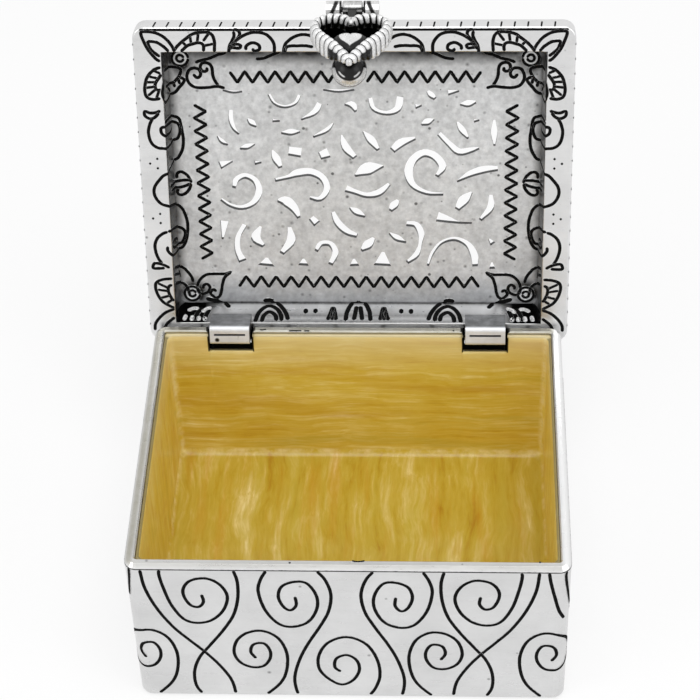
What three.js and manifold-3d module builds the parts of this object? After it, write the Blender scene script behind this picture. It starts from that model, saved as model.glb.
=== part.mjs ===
// A small hinged trinket box: a cast silver body lined with enamel, and a lid with a pierced panel.
// Units are millimetres. X runs along the front, Y from front to back, Z up, and the origin is the
// middle of the footprint on the table. The lid stands open against its stop, as the box is shown.

import * as THREE from 'three';
import { mergeVertices } from 'three/addons/utils/BufferGeometryUtils.js';
import Module from 'manifold-3d';

// Body
const BOX_WIDTH = 90;
const BOX_DEPTH = 70.8;
const BOX_HEIGHT = 42;
const WALL = 2.1;
const BOX_CORNER = 2.6;
const FOOT_ROUND = 0.9;
const RIM_BEVEL = 0.8;
const RIM_INNER_BEVEL = 0.3;
const BASE_THICKNESS = 3;
const BASE_LEDGE = 0.9;
const ENAMEL_WALL = 0.6;
const ENAMEL_FLOOR = 0.6;
const ENAMEL_BELOW_RIM = 0.4;

// Lid
const LID_OVERHANG = 1.55;
const LID_CORNER = 2.6;
const LID_EDGE = 4.4;
const LID_EDGE_ROUND = 0.3;
const LID_SHOULDER = 3.2;
const FLANGE_SIDE = 5.9;
const FLANGE_BACK = 4.45;
const FLANGE_FRONT = 5.55;
const RECESS_DEPTH = 6;
const DRAFT_SIDE = 0.7;
const DRAFT_BACK = 2.1;
const RECESS_CORNER = 1.4;
const PANEL_THICKNESS = 1.2;
const PANEL_LEDGE = 1.4;

// Hinges
const HINGE_INSET = 16.7;
const LUG_WIDTH = 8.9;
const LUG_FRONT = 3.2;
const LUG_BACK = 1.2;
const LUG_DROP = 3;
const LUG_RISE = 1.8;
const LUG_RISE_THICKNESS = 0.6;
const LUG_ROUND = 0.9;
const LUG_SLOT_LENGTH = 7;
const LUG_SLOT_WIDTH = 0.5;
const LUG_SLOT_DEPTH = 0.4;
const LUG_SLOT_FORWARD = 1.3;
const HINGE_DROP = 1.9;
const NOTCH_SIDE_GAP = 0.45;
const NOTCH_BOTTOM_GAP = 0.3;
const NOTCH_LIP = 0.9;
const PIN_RADIUS = 0.55;
const PIN_GRIP = 4;

// Heart pull on the front of the lid
const PULL_REACH = 4;
const PULL_DROP = 0.6;
const PULL_LEAN = 10;
const KNUCKLE_RADIUS = 1.8;
const KNUCKLE_WIDTH = 4.1;
const EAR_WIDTH = 3.2;
const BRACKET_PLATE = 0.7;
const BRACKET_RISE = 4;
const HEART_WIDTH = 14.4;
const HEART_GAP = 5.55;
const HEART_FORWARD = 0.3;
const HEART_LOBE_RATIO = 0.85;
const HEART_BODY_RATIO = 1.35;
const HEART_WAIST_RATIO = 0.125;
const HEART_TOP_RATIO = 0.375;
const HEART_PLATE = 0.9;
const HEART_PLATE_BACK = 1.6;
const ROPE_RADIUS = 1.3;
const ROPE_DEPTH = 1.9;
const ROPE_BELLY = 0.6;
const ROPE_GROOVE = 0.25;
const ROPE_STRANDS = 17;
const ROPE_TIP_RATIO = 1.1;
const NECK_WIDTH = 2.4;
const NECK_THICKNESS = 1.5;
const HEEL_HEIGHT = 1.1;
const SMALL_HEART_RATIO = 0.5;
const SMALL_HEART_DOWN_RATIO = 0.235;
const SMALL_HEART_RISE = 1.7;

// Catch bead under the lid, just inside the front wall
const CATCH_RADIUS = 3.7;
const CATCH_X = -0.8;
const CATCH_POST_RADIUS = 1.4;
const CATCH_DROP = 3;

// Clearances
const SEAT_GAP = 0.1;
const SOLDER_GAP = 0.1;
const RUNNING_GAP = 0.1;
const STOP_GAP = 0.15;
const KNUCKLE_GAP = 0.25;
const PLATE_GAP = 0.2;
const CATCH_GAP = 0.3;

// Facets
const CORNER_STEPS = 5;
const ROUND_SIDES = 16;
const HEART_STEPS = 20;
const STRAND_STEPS = 4;
const ROPE_SIDES = 8;
const PIERCING_STEPS = 4;
const BEAD_STEPS = 12;
const SMALL_HEART_STEPS = 5;
const SMALL_HEART_ROUND = 1.4;

// Margin between the panel's rim and the pierced field, and the half size of the grid that the
// piercing is drawn on. The drawing is stretched to fill the field.
const FIELD_MARGIN_X = 10.2;
const FIELD_MARGIN_Y = 9.7;
const DRAWING_HALF_X = 31;
const DRAWING_HALF_Y = 22;

// Piercing seen from inside the lid: X to the right, Y towards the hinges. Each hole is drawn along
// its middle line, as x, y and the hole's width at each point.
const PIERCINGS = [
  [[-28.5, -20.5, 0.4], [-26.3, -20.1, 0.7], [-24.3, -20.2, 0.4]],
  [[-18.6, -19.6, 0.7], [-17.4, -17.5, 0.8], [-15.3, -16.7, 0.8], [-13, -17.5, 0.8], [-12, -19.4, 0.7]],
  [[-6.9, -20.6, 0.4], [-3.7, -20.3, 0.8], [-0.2, -20.6, 0.4]],
  [[3.1, -18.7, 1], [3.9, -16.2, 1.1], [6.6, -15.2, 1.1], [9, -16.2, 1.6], [9.6, -19, 1.4]],
  [[15.5, -20.3, 0.7], [16.2, -19.4, 1.4], [17.1, -18.5, 0.8]],
  [[19.8, -19.9, 1.3], [22.2, -20.3, 0.4]],
  [[22.4, -17.2, 0.5], [24.1, -17.4, 1.7], [25.8, -17.8, 0.7]],
  [[12.8, -16.7, 1.1], [14.2, -17, 0.4]],
  [[-26.9, -16, 0.8], [-27, -13.7, 1.1], [-26.4, -11.6, 0.9], [-25.4, -10.3, 0.4]],
  [[-23.4, -13.9, 0.5], [-22.5, -13, 1.5], [-21.6, -12, 0.4]],
  [[-18, -13.5, 0.8], [-16.4, -13.4, 0.4]],
  [[-7.7, -17.5, 1.2], [-8.8, -15.5, 1.4], [-11.8, -13.7, 0.4]],
  [[-2.4, -17.2, 0.4], [-0.7, -17.1, 1.7], [0, -15.5, 0.5]],
  [[14.1, -12.5, 0.5], [15.4, -13.2, 1.7], [16.9, -13.8, 0.4]],
  [[21.8, -13.2, 0.5], [22.9, -11.3, 1.5], [24.2, -9.3, 0.5]],
  [[25.4, -13.4, 0.8], [26.6, -13.6, 0.4]],
  [[29.8, -13.7, 0.4], [29.8, -10.7, 1.4], [29.9, -7.6, 0.4]],
  [[-4.9, -12.9, 0.4], [-6.3, -11.3, 1.1], [-9.3, -9.7, 0.5]],
  [[-16.2, -10.6, 0.5], [-14.1, -10.8, 1.6], [-12.1, -10.9, 0.5]],
  [[1.5, -11, 0.4], [3.2, -9, 1.9], [4.8, -6.6, 0.8]],
  [[7.8, -6.5, 1.4], [9.7, -8.3, 2], [12.8, -9.4, 0.8]],
  [[17.9, -10.5, 1.1], [20.4, -7.8, 1.4], [22.3, -6.2, 1.7], [24.7, -6.6, 1.4], [26.6, -7.1, 0.6]],
  [[-30.1, -9.9, 0.4], [-29.1, -8.6, 1.1], [-27.9, -7.8, 0.4]],
  [[-25.3, -6.9, 0.4], [-23.8, -7.4, 1.4], [-22, -8, 0.4]],
  [[-3.2, -10.2, 0.4], [-2.2, -7.1, 1.9], [-0.3, -4.8, 1.2]],
  [[-18.3, -6.6, 0.5], [-17.5, -4.6, 1.9], [-16.6, -2.4, 0.9]],
  [[-14.7, -6.4, 2.1], [-12, -6, 2.3]],
  [[-8, -5.2, 1.8], [-6, -6, 2.3]],
  [[-0.4, -0.5, 0.5], [2.4, -2.2, 3.1], [5.9, -2.8, 0.5]],
  [[17.4, -0.4, 0.8], [18.7, -2.6, 1.7], [17.1, -5.1, 1.9], [14.7, -5.9, 1.9], [12.3, -4.3, 1.9],
    [11.3, -1.3, 1.9], [12.3, 1.7, 1.5], [15.3, 3.5, 1.1], [18.9, 3.8, 0.7]],
  [[21.9, 0.8, 0.4], [24.9, -1.1, 1.6], [28, -2.1, 1.8], [30.7, -2.3, 1.2]],
  [[-29.9, -3, 1.9], [-27, -4, 0.4]],
  [[-22.2, -3.6, 1], [-20.7, -3.7, 0.4]],
  [[-27, 2.4, 0.8], [-26.4, 0.5, 1.3], [-24.5, -0.5, 1.4], [-22.3, 0.6, 1.5], [-21.5, 3.1, 1.5],
    [-22.7, 5.8, 1.4], [-25.4, 7.1, 1.2], [-28, 6.5, 1], [-29.9, 5.1, 0.8]],
  [[-17.9, 0.5, 0.9], [-14.8, -0.3, 1.1], [-13.1, -1.1, 1.9], [-10, -1.4, 1.9], [-7.4, 0.1, 1.7],
    [-6.6, 2.8, 1.4], [-8.2, 5, 1.3], [-10.4, 4.7, 0.8]],
  [[-2.4, 2.5, 1.7], [-0.4, 3.3, 1.3], [2.2, 4.1, 1.4], [4.8, 3.5, 1.7], [7.1, 1.4, 0.9]],
  [[7.3, 7.9, 0.7], [8.1, 6.5, 1.9], [9, 5.2, 0.7]],
  [[-17.5, 5.4, 0.8], [-15.6, 5.6, 2.5], [-13.9, 7.3, 2], [-12.9, 9.6, 0.8]],
  [[25.1, 3.3, 0.5], [23.4, 5.2, 2.4], [21.9, 7.5, 1.1]],
  [[29.3, 3.9, 0.7], [29.2, 7.1, 1.6], [27, 10, 0.8]],
  [[-1.7, 7.1, 0.5], [-0.1, 8.1, 1.8], [1.7, 9.3, 0.5]],
  [[-10.2, 9.5, 1.4], [-8.9, 11, 1.8]],
  [[-5.4, 8.1, 0.9], [-4.3, 10.8, 1.7], [-2.3, 12.9, 1.7], [-0.1, 13.9, 1.1]],
  [[10.8, 10.9, 1.2], [12.9, 11.2, 1.5], [14, 13.3, 1.5], [13.8, 16, 0.8], [12.9, 18.6, 1.4],
    [10.9, 20.4, 0.9]],
  [[17.6, 9.2, 2.4], [19.7, 9.8, 1.7], [22.4, 10.6, 0.6], [25.2, 10.7, 0.4]],
  [[-29.4, 10.3, 1.9], [-30, 14.8, 0.4]],
  [[-24.9, 11.2, 1.1], [-26.6, 14.5, 1.1], [-26.7, 17.7, 1.4], [-25.7, 20.2, 1.9]],
  [[-21.4, 11.6, 0.5], [-22.6, 14.5, 2.2], [-20.9, 16.5, 0.9]],
  [[-15.1, 11.8, 0.9], [-14.8, 15.1, 2], [-17, 18.3, 1.1]],
  [[0.8, 17.6, 0.6], [2.2, 16.1, 2.2], [3.6, 14.4, 0.8]],
  [[7, 13.2, 0.5], [8.7, 14.4, 1.6], [10.7, 15.5, 0.4]],
  [[15.5, 21.2, 0.5], [16.4, 18.3, 0.8], [18.4, 15.6, 0.9], [21.5, 14.6, 1.1], [24.4, 16, 1.4],
    [25.8, 18.7, 1.7], [26, 21.3, 1.2]],
  [[29, 14.6, 0.5], [29.9, 15.8, 1.3]],
  [[-9.3, 17.7, 0.8], [-8.2, 15.9, 1.3], [-6.1, 15.9, 1.4], [-5, 18, 1.4], [-6.2, 21, 1.1]],
  [[-20.3, 19.3, 0.5], [-20.5, 21.3, 3.7]],
  [[-12.1, 19.5, 0.4], [-12.2, 21.2, 2.4]],
  [[-0.9, 19.5, 0.4], [-0.8, 21.3, 2.2]],
  [[5.6, 17.8, 0.6], [5.4, 21.2, 3.9]],
  [[29.7, 20.3, 0.4], [29.8, 21.9, 1.3]],
];

// Places worked out from the sizes above
const HINGE_Y = BOX_DEPTH / 2 - WALL / 2;
const HINGE_Z = BOX_HEIGHT - HINGE_DROP;
const HINGE_X = BOX_WIDTH / 2 - HINGE_INSET;
const NOTCH_WIDTH = LUG_WIDTH + 2 * NOTCH_SIDE_GAP;
const NOTCH_DEPTH = HINGE_DROP + Math.hypot(LUG_BACK, LUG_DROP) + NOTCH_BOTTOM_GAP;
const LID_BOTTOM = BOX_HEIGHT + SEAT_GAP;
const LID_HALF_X = BOX_WIDTH / 2 + LID_OVERHANG;
const LID_HALF_Y = BOX_DEPTH / 2 + LID_OVERHANG;
const LID_TOP = RECESS_DEPTH + PANEL_THICKNESS;
const LEDGE_SIDE = FLANGE_SIDE + DRAFT_SIDE;
const LEDGE_BACK = FLANGE_BACK + DRAFT_BACK;
const BORE_RADIUS = PIN_RADIUS + RUNNING_GAP;
const PULL_Y = -LID_HALF_Y - PULL_REACH;
const PULL_Z = LID_BOTTOM - PULL_DROP;
const HEART_DROP = HEART_GAP + (HEART_TOP_RATIO - HEART_WAIST_RATIO) * HEART_LOBE_RATIO * HEART_WIDTH;
const SMALL_HEART_WIDTH = SMALL_HEART_RATIO * HEART_WIDTH;
const SMALL_HEART_DOWN = SMALL_HEART_DOWN_RATIO * HEART_WIDTH;
const BRACKET_HALF_X = KNUCKLE_WIDTH / 2 + KNUCKLE_GAP + EAR_WIDTH;
const CATCH_Y = -BOX_DEPTH / 2 + WALL + SOLDER_GAP + ENAMEL_WALL + CATCH_GAP + CATCH_RADIUS;

// The lid opens until its back edge meets the outside of the back wall. The edge lies EDGE_BACK
// behind the hinge axis and EDGE_UP above it, and the wall face STOP_BACK behind the axis.
const EDGE_BACK = WALL / 2 + LID_OVERHANG;
const EDGE_UP = HINGE_DROP + SEAT_GAP;
const STOP_BACK = WALL / 2 + STOP_GAP;
const OPEN_ANGLE = Math.atan2(EDGE_UP, EDGE_BACK) + Math.acos(STOP_BACK / Math.hypot(EDGE_BACK, EDGE_UP));

const silver = new THREE.MeshStandardMaterial({ color: '#c8c8c5', roughness: 0.3, metalness: 1 });
const satinSilver = new THREE.MeshStandardMaterial({ color: '#b4b4b1', roughness: 0.45, metalness: 1 });
const steel = new THREE.MeshStandardMaterial({ color: '#8d8d8c', roughness: 0.4, metalness: 1 });
const blackened = new THREE.MeshStandardMaterial({ color: '#232322', roughness: 0.6, metalness: 0.8 });
const enamel = new THREE.MeshStandardMaterial({ color: '#c39a3f', roughness: 0.3, metalness: 0 });

const wasm = await Module();
wasm.setup();

// A closed mesh as a solid that can be joined and cut
function solid(geometry) {
  const bare = geometry.clone();
  bare.deleteAttribute('normal');
  bare.deleteAttribute('uv');
  const merged = mergeVertices(bare);
  return new wasm.Manifold(new wasm.Mesh({
    numProp: 3,
    vertProperties: new Float32Array(merged.attributes.position.array),
    triVerts: new Uint32Array(merged.index.array),
  }));
}

function mesh(name, body, material) {
  const { vertProperties, triVerts } = body.getMesh();
  const geometry = new THREE.BufferGeometry();
  geometry.setAttribute('position', new THREE.BufferAttribute(new Float32Array(vertProperties), 3));
  geometry.setIndex(new THREE.BufferAttribute(new Uint32Array(triVerts), 1));
  geometry.computeVertexNormals();
  const node = new THREE.Mesh(geometry, material);
  node.name = name;
  return node;
}

// A skin over loops of equal point count. A ring closes from the last loop to the first, and any
// other skin has its first and last loops closed by a fan round their middle.
function skin(loops, isRing) {
  const count = loops[0].length;
  const points = loops.flat();
  const faces = [];
  const bands = isRing ? loops.length : loops.length - 1;
  for (let band = 0; band < bands; band++) {
    const lower = band * count;
    const upper = ((band + 1) % loops.length) * count;
    for (let k = 0; k < count; k++) {
      const next = (k + 1) % count;
      faces.push(lower + k, lower + next, upper + next);
      faces.push(lower + k, upper + next, upper + k);
    }
  }
  if (!isRing) {
    const last = (loops.length - 1) * count;
    const middles = [loops[0], loops[loops.length - 1]].map(middleOf);
    points.push(...middles);
    for (let k = 0; k < count; k++) {
      const next = (k + 1) % count;
      faces.push(next, k, points.length - 2);
      faces.push(last + k, last + next, points.length - 1);
    }
  }
  const geometry = new THREE.BufferGeometry().setFromPoints(points);
  geometry.setIndex(faces);
  return solid(geometry);
}

function middleOf(loop) {
  const sum = new THREE.Vector3();
  loop.forEach((point) => sum.add(point));
  return sum.divideScalar(loop.length);
}

// A rounded rectangle at height z, anticlockwise from above
function roundedLoop(halfX, halfY, radius, z) {
  const loop = [];
  const corners = [[1, 1], [-1, 1], [-1, -1], [1, -1]];
  corners.forEach(([signX, signY], corner) => {
    for (let step = 0; step <= CORNER_STEPS; step++) {
      const angle = (corner + step / CORNER_STEPS) * Math.PI / 2;
      const x = signX * (halfX - radius) + radius * Math.cos(angle);
      const y = signY * (halfY - radius) + radius * Math.sin(angle);
      loop.push(new THREE.Vector3(x, y, z));
    }
  });
  return loop;
}

// A loop of the body's outline, drawn in by an inset
function bodyLoop(inset, z) {
  const radius = Math.max(BOX_CORNER - inset, RIM_INNER_BEVEL);
  return roundedLoop(BOX_WIDTH / 2 - inset, BOX_DEPTH / 2 - inset, radius, z);
}

// A loop of the lid's outline, drawn in at the sides, at the back and at the front, at a height above
// the lid's underside
function lidLoop(insetSide, insetBack, rise, insetFront = insetBack) {
  const radius = Math.max(LID_CORNER - insetSide, RECESS_CORNER);
  const halfY = LID_HALF_Y - (insetBack + insetFront) / 2;
  const loop = roundedLoop(LID_HALF_X - insetSide, halfY, radius, LID_BOTTOM + rise);
  return loop.map((point) => point.setY(point.y + (insetFront - insetBack) / 2));
}

// A round bar along X, centred at x, y, z
function barAlongX(radius, length, x, y, z) {
  const geometry = new THREE.CylinderGeometry(radius, radius, length, ROUND_SIDES);
  geometry.rotateZ(Math.PI / 2);
  geometry.translate(x, y, z);
  return solid(geometry);
}

function block(sizeX, sizeY, sizeZ, x, y, z) {
  const geometry = new THREE.BoxGeometry(sizeX, sizeY, sizeZ);
  geometry.translate(x, y, z);
  return solid(geometry);
}

// A Shape drawn in Y and Z, drawn out along X about its middle
function drawnAlongX(shape, width, x) {
  const geometry = new THREE.ExtrudeGeometry(shape, {
    depth: width, bevelEnabled: false, curveSegments: CORNER_STEPS,
  });
  geometry.rotateY(Math.PI / 2);
  geometry.rotateX(Math.PI / 2);
  geometry.translate(x - width / 2, 0, 0);
  return solid(geometry);
}

// The mouth of a hinge notch: a slot in the back wall whose top corners flare out
function notchCutter(x) {
  const half = NOTCH_WIDTH / 2;
  const floor = BOX_HEIGHT - NOTCH_DEPTH;
  const over = BOX_HEIGHT + WALL;
  const shape = new THREE.Shape();
  shape.moveTo(-half, floor);
  shape.lineTo(half, floor);
  shape.lineTo(half, BOX_HEIGHT - NOTCH_LIP);
  shape.absarc(half + NOTCH_LIP, BOX_HEIGHT - NOTCH_LIP, NOTCH_LIP, Math.PI, Math.PI / 2, true);
  shape.lineTo(half + NOTCH_LIP, over);
  shape.lineTo(-half - NOTCH_LIP, over);
  shape.lineTo(-half - NOTCH_LIP, BOX_HEIGHT);
  shape.absarc(-half - NOTCH_LIP, BOX_HEIGHT - NOTCH_LIP, NOTCH_LIP, Math.PI / 2, 0, true);
  const reach = 2 * WALL + ENAMEL_WALL;
  const geometry = new THREE.ExtrudeGeometry(shape, {
    depth: 2 * reach, bevelEnabled: false, curveSegments: CORNER_STEPS,
  });
  geometry.rotateX(Math.PI / 2);
  geometry.translate(x, HINGE_Y + reach, 0);
  return solid(geometry);
}

function boxWalls() {
  const ledge = WALL - BASE_LEDGE;
  const foot = FOOT_ROUND * (1 - Math.SQRT1_2);
  let walls = skin([
    bodyLoop(FOOT_ROUND, 0),
    bodyLoop(foot, foot),
    bodyLoop(0, FOOT_ROUND),
    bodyLoop(0, BOX_HEIGHT - RIM_BEVEL),
    bodyLoop(RIM_BEVEL, BOX_HEIGHT),
    bodyLoop(WALL - RIM_INNER_BEVEL, BOX_HEIGHT),
    bodyLoop(WALL, BOX_HEIGHT - RIM_INNER_BEVEL),
    bodyLoop(WALL, BASE_THICKNESS + SOLDER_GAP),
    bodyLoop(ledge, BASE_THICKNESS + SOLDER_GAP),
    bodyLoop(ledge, 0),
  ], true);
  for (const x of [-HINGE_X, HINGE_X]) {
    const bore = barAlongX(BORE_RADIUS, NOTCH_WIDTH + 2 * (PIN_GRIP + RUNNING_GAP), x, HINGE_Y, HINGE_Z);
    walls = walls.subtract(notchCutter(x)).subtract(bore);
  }
  return mesh('box_walls', walls, silver);
}

function basePlate() {
  const inset = WALL - BASE_LEDGE + SOLDER_GAP;
  return mesh('base_plate', skin([bodyLoop(inset, 0), bodyLoop(inset, BASE_THICKNESS)], false), satinSilver);
}

function enamelWalls() {
  const outer = WALL + SOLDER_GAP;
  const inner = outer + ENAMEL_WALL;
  const floor = BASE_THICKNESS + SOLDER_GAP;
  const top = BOX_HEIGHT - RIM_INNER_BEVEL - ENAMEL_BELOW_RIM;
  let coat = skin([
    bodyLoop(outer, floor), bodyLoop(outer, top),
    bodyLoop(inner, top - ENAMEL_BELOW_RIM), bodyLoop(inner, floor),
  ], true);
  for (const x of [-HINGE_X, HINGE_X]) {
    coat = coat.subtract(notchCutter(x));
  }
  return mesh('enamel_walls', coat, enamel);
}

function enamelFloor() {
  const inset = WALL + 2 * SOLDER_GAP + ENAMEL_WALL;
  const floor = BASE_THICKNESS + SOLDER_GAP;
  const coat = skin([bodyLoop(inset, floor), bodyLoop(inset, floor + ENAMEL_FLOOR)], false);
  return mesh('enamel_floor', coat, enamel);
}

function hingePin(side, x) {
  const pin = barAlongX(PIN_RADIUS, NOTCH_WIDTH + 2 * PIN_GRIP, x, HINGE_Y, HINGE_Z);
  return mesh(`hinge_pin_${side}`, pin, steel);
}

// The lug under the lid that fills a notch: a block round the pin with rounded lower corners, a lip
// that rises along the recess wall, and a shallow slot on the face that shows inside when open
function hingeLug(side, x) {
  const top = LID_BOTTOM - SOLDER_GAP;
  const bottom = HINGE_Z - LUG_DROP;
  const front = HINGE_Y - LUG_FRONT;
  const back = HINGE_Y + LUG_BACK;
  const flangeEdge = LID_HALF_Y - FLANGE_BACK;
  const shape = new THREE.Shape();
  shape.moveTo(front, top + LUG_RISE);
  shape.lineTo(front, bottom + LUG_ROUND);
  shape.absarc(front + LUG_ROUND, bottom + LUG_ROUND, LUG_ROUND, Math.PI, 1.5 * Math.PI, false);
  shape.lineTo(back - LUG_ROUND, bottom);
  shape.absarc(back - LUG_ROUND, bottom + LUG_ROUND, LUG_ROUND, -Math.PI / 2, 0, false);
  shape.lineTo(back, top);
  shape.lineTo(flangeEdge - SOLDER_GAP, top);
  shape.lineTo(front + LUG_RISE_THICKNESS, top + LUG_RISE);
  const slotY = HINGE_Y - LUG_SLOT_FORWARD;
  const slot = block(LUG_SLOT_LENGTH, LUG_SLOT_WIDTH, 2 * LUG_SLOT_DEPTH, x, slotY, bottom);
  const bore = barAlongX(BORE_RADIUS, 2 * LUG_WIDTH, x, HINGE_Y, HINGE_Z);
  const lug = drawnAlongX(shape, LUG_WIDTH, x).subtract(slot).subtract(bore);
  return mesh(`hinge_lug_${side}`, lug, silver);
}

// The lid's frame: a flat flange, an upright edge, a rounded shoulder, and a ledge for the panel
// at the top of the drafted recess
function lidFrame() {
  const rebateSide = LEDGE_SIDE - PANEL_LEDGE;
  const rebateBack = LEDGE_BACK - PANEL_LEDGE;
  const shoulderRise = LID_TOP - LID_EDGE;
  const shoulderIn = LID_SHOULDER * (1 - Math.SQRT1_2);
  const shoulderUp = LID_EDGE + shoulderRise * Math.SQRT1_2;
  const frame = skin([
    lidLoop(LID_EDGE_ROUND, LID_EDGE_ROUND, 0),
    lidLoop(0, 0, LID_EDGE_ROUND),
    lidLoop(0, 0, LID_EDGE),
    lidLoop(shoulderIn, shoulderIn, shoulderUp),
    lidLoop(LID_SHOULDER, LID_SHOULDER, LID_TOP),
    lidLoop(rebateSide, rebateBack, LID_TOP),
    lidLoop(rebateSide, rebateBack, RECESS_DEPTH - SOLDER_GAP),
    lidLoop(LEDGE_SIDE, LEDGE_BACK, RECESS_DEPTH - SOLDER_GAP),
    lidLoop(FLANGE_SIDE, FLANGE_BACK, 0, FLANGE_FRONT),
  ], true);
  return mesh('lid_frame', frame, silver);
}

// The outline of a hole: out along one edge of its middle line and back along the other. A hole of
// two points has straight edges.
function piercingOutline(middleLine) {
  const points = middleLine.map(([x, y, width]) => new THREE.Vector3(x, y, width));
  const curve = new THREE.CatmullRomCurve3(points);
  const steps = middleLine.length > 2 ? PIERCING_STEPS * (middleLine.length - 1) : 1;
  const edge = (step, side) => {
    const { x, y, z: width } = curve.getPoint(step / steps);
    const along = curve.getTangent(step / steps).setZ(0).normalize();
    const reach = side * width / 2;
    return [x - reach * along.y, y + reach * along.x];
  };
  const outline = [];
  for (let step = 0; step <= steps; step++) {
    outline.push(edge(step, 1));
  }
  for (let step = steps; step >= 0; step--) {
    outline.push(edge(step, -1));
  }
  return outline;
}

// The pierced panel: a plate with the fretwork cut through, laid in the frame's rebate
function piercedPanel() {
  const halfX = LID_HALF_X - LEDGE_SIDE + PANEL_LEDGE - SOLDER_GAP;
  const halfY = LID_HALF_Y - LEDGE_BACK + PANEL_LEDGE - SOLDER_GAP;
  const stretchX = (halfX - FIELD_MARGIN_X) / DRAWING_HALF_X;
  const stretchY = (halfY - FIELD_MARGIN_Y) / DRAWING_HALF_Y;
  const plate = new THREE.Shape(roundedLoop(halfX, halfY, RECESS_CORNER, 0));
  for (const middleLine of PIERCINGS) {
    const outline = piercingOutline(middleLine);
    const points = outline.map(([x, y]) => new THREE.Vector2(x * stretchX, y * stretchY));
    plate.holes.push(new THREE.Path(points));
  }
  const geometry = new THREE.ExtrudeGeometry(plate, { depth: PANEL_THICKNESS, bevelEnabled: false });
  geometry.translate(0, 0, LID_BOTTOM + RECESS_DEPTH);
  return mesh('pierced_panel', solid(geometry), satinSilver);
}

// The catch: a bead on a post that hangs from the panel and passes just inside the front wall
function catchBead() {
  const profile = [];
  const rest = Math.asin(CATCH_POST_RADIUS / CATCH_RADIUS);
  profile.push(new THREE.Vector2(0, -CATCH_RADIUS));
  for (let step = 1; step <= BEAD_STEPS; step++) {
    const angle = (Math.PI - rest) * step / BEAD_STEPS;
    profile.push(new THREE.Vector2(CATCH_RADIUS * Math.sin(angle), -CATCH_RADIUS * Math.cos(angle)));
  }
  const postTop = CATCH_DROP + RECESS_DEPTH - SOLDER_GAP;
  profile.push(new THREE.Vector2(CATCH_POST_RADIUS, postTop));
  profile.push(new THREE.Vector2(0, postTop));
  const geometry = new THREE.LatheGeometry(profile, ROUND_SIDES);
  geometry.rotateX(Math.PI / 2);
  geometry.translate(CATCH_X, CATCH_Y, LID_BOTTOM - CATCH_DROP);
  return mesh('catch_bead', solid(geometry), silver);
}

// A rounded tongue from the pull's axis to a line set back from it, seen along X, about the axis
function tongueShape(radius, setBack) {
  const shape = new THREE.Shape();
  shape.absarc(0, 0, radius, Math.PI / 2, 1.5 * Math.PI, false);
  shape.lineTo(setBack, -radius);
  shape.lineTo(setBack, radius);
  return shape;
}

// The bracket soldered to the front edge of the lid: a plate and the two ears that hold the pin
function pullBracket() {
  const face = PULL_REACH - SOLDER_GAP;
  const height = BRACKET_RISE + KNUCKLE_RADIUS;
  const middle = BRACKET_RISE - height / 2;
  let bracket = block(2 * BRACKET_HALF_X, BRACKET_PLATE, height, 0, face - BRACKET_PLATE / 2, middle);
  for (const side of [-1, 1]) {
    const x = side * (BRACKET_HALF_X - EAR_WIDTH / 2);
    bracket = bracket.add(drawnAlongX(tongueShape(KNUCKLE_RADIUS, face), EAR_WIDTH, x));
  }
  bracket = bracket.subtract(barAlongX(BORE_RADIUS, 3 * BRACKET_HALF_X, 0, 0, 0));
  const knuckleRoom = barAlongX(KNUCKLE_RADIUS + KNUCKLE_GAP, KNUCKLE_WIDTH + 2 * KNUCKLE_GAP, 0, 0, 0);
  return mesh('pull_bracket', bracket.subtract(knuckleRoom), silver);
}

function pullPin() {
  return mesh('pull_pin', barAlongX(PIN_RADIUS, 2 * BRACKET_HALF_X, 0, 0, 0), steel);
}

// A heart of a given width, from its cleft at t = 0 by its right lobe to its tip at t = 1. It is the
// sine heart with flatter lobes and a longer body, and its waist lies at height 0.
function heartPoint(t, width) {
  const angle = Math.PI * t;
  const x = 0.5 * Math.sin(angle) ** 3;
  const [one, two, three, four] = [1, 2, 3, 4].map((turns) => Math.cos(turns * angle));
  const rise = (13 * one - 5 * two - 2 * three - four) / 32 - HEART_WAIST_RATIO;
  const z = rise * (rise > 0 ? HEART_LOBE_RATIO : HEART_BODY_RATIO);
  return new THREE.Vector3(x, 0, z).multiplyScalar(width);
}

// One side of the rope border: an oval section carried down half of the heart, deeper behind its
// flanks, whose strands are grooves that wind round it
function ropeHalf(side, swell, groove, steps) {
  const rings = [];
  const nudge = 1e-3;
  for (let step = 0; step <= steps; step++) {
    const t = step / steps;
    const centre = heartPoint(t, HEART_WIDTH);
    const along = heartPoint(Math.min(t + nudge, 1), HEART_WIDTH);
    along.sub(heartPoint(Math.max(t - nudge, 0), HEART_WIDTH)).normalize();
    const outward = new THREE.Vector3(-along.z, 0, along.x);
    const ring = [];
    for (let k = 0; k < ROPE_SIDES; k++) {
      const angle = 2 * Math.PI * k / ROPE_SIDES;
      const phase = 2 * Math.PI * (ROPE_STRANDS * t + k / ROPE_SIDES);
      const cut = groove * (0.5 + 0.5 * Math.cos(phase)) ** 2;
      const point = centre.clone().addScaledVector(outward, (ROPE_RADIUS + swell - cut) * Math.cos(angle));
      const belly = Math.sin(angle) > 0 ? ROPE_BELLY * Math.sin(Math.PI * t) : 0;
      point.y += (ROPE_DEPTH + belly + swell - cut) * Math.sin(angle) - HEART_FORWARD;
      point.z -= HEART_DROP;
      point.x *= side;
      ring.push(point);
    }
    rings.push(side > 0 ? ring.reverse() : ring);
  }
  return skin(rings, false);
}

function ropeHeart(swell, groove, steps) {
  return ropeHalf(1, swell, groove, steps).add(ropeHalf(-1, swell, groove, steps));
}

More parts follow.
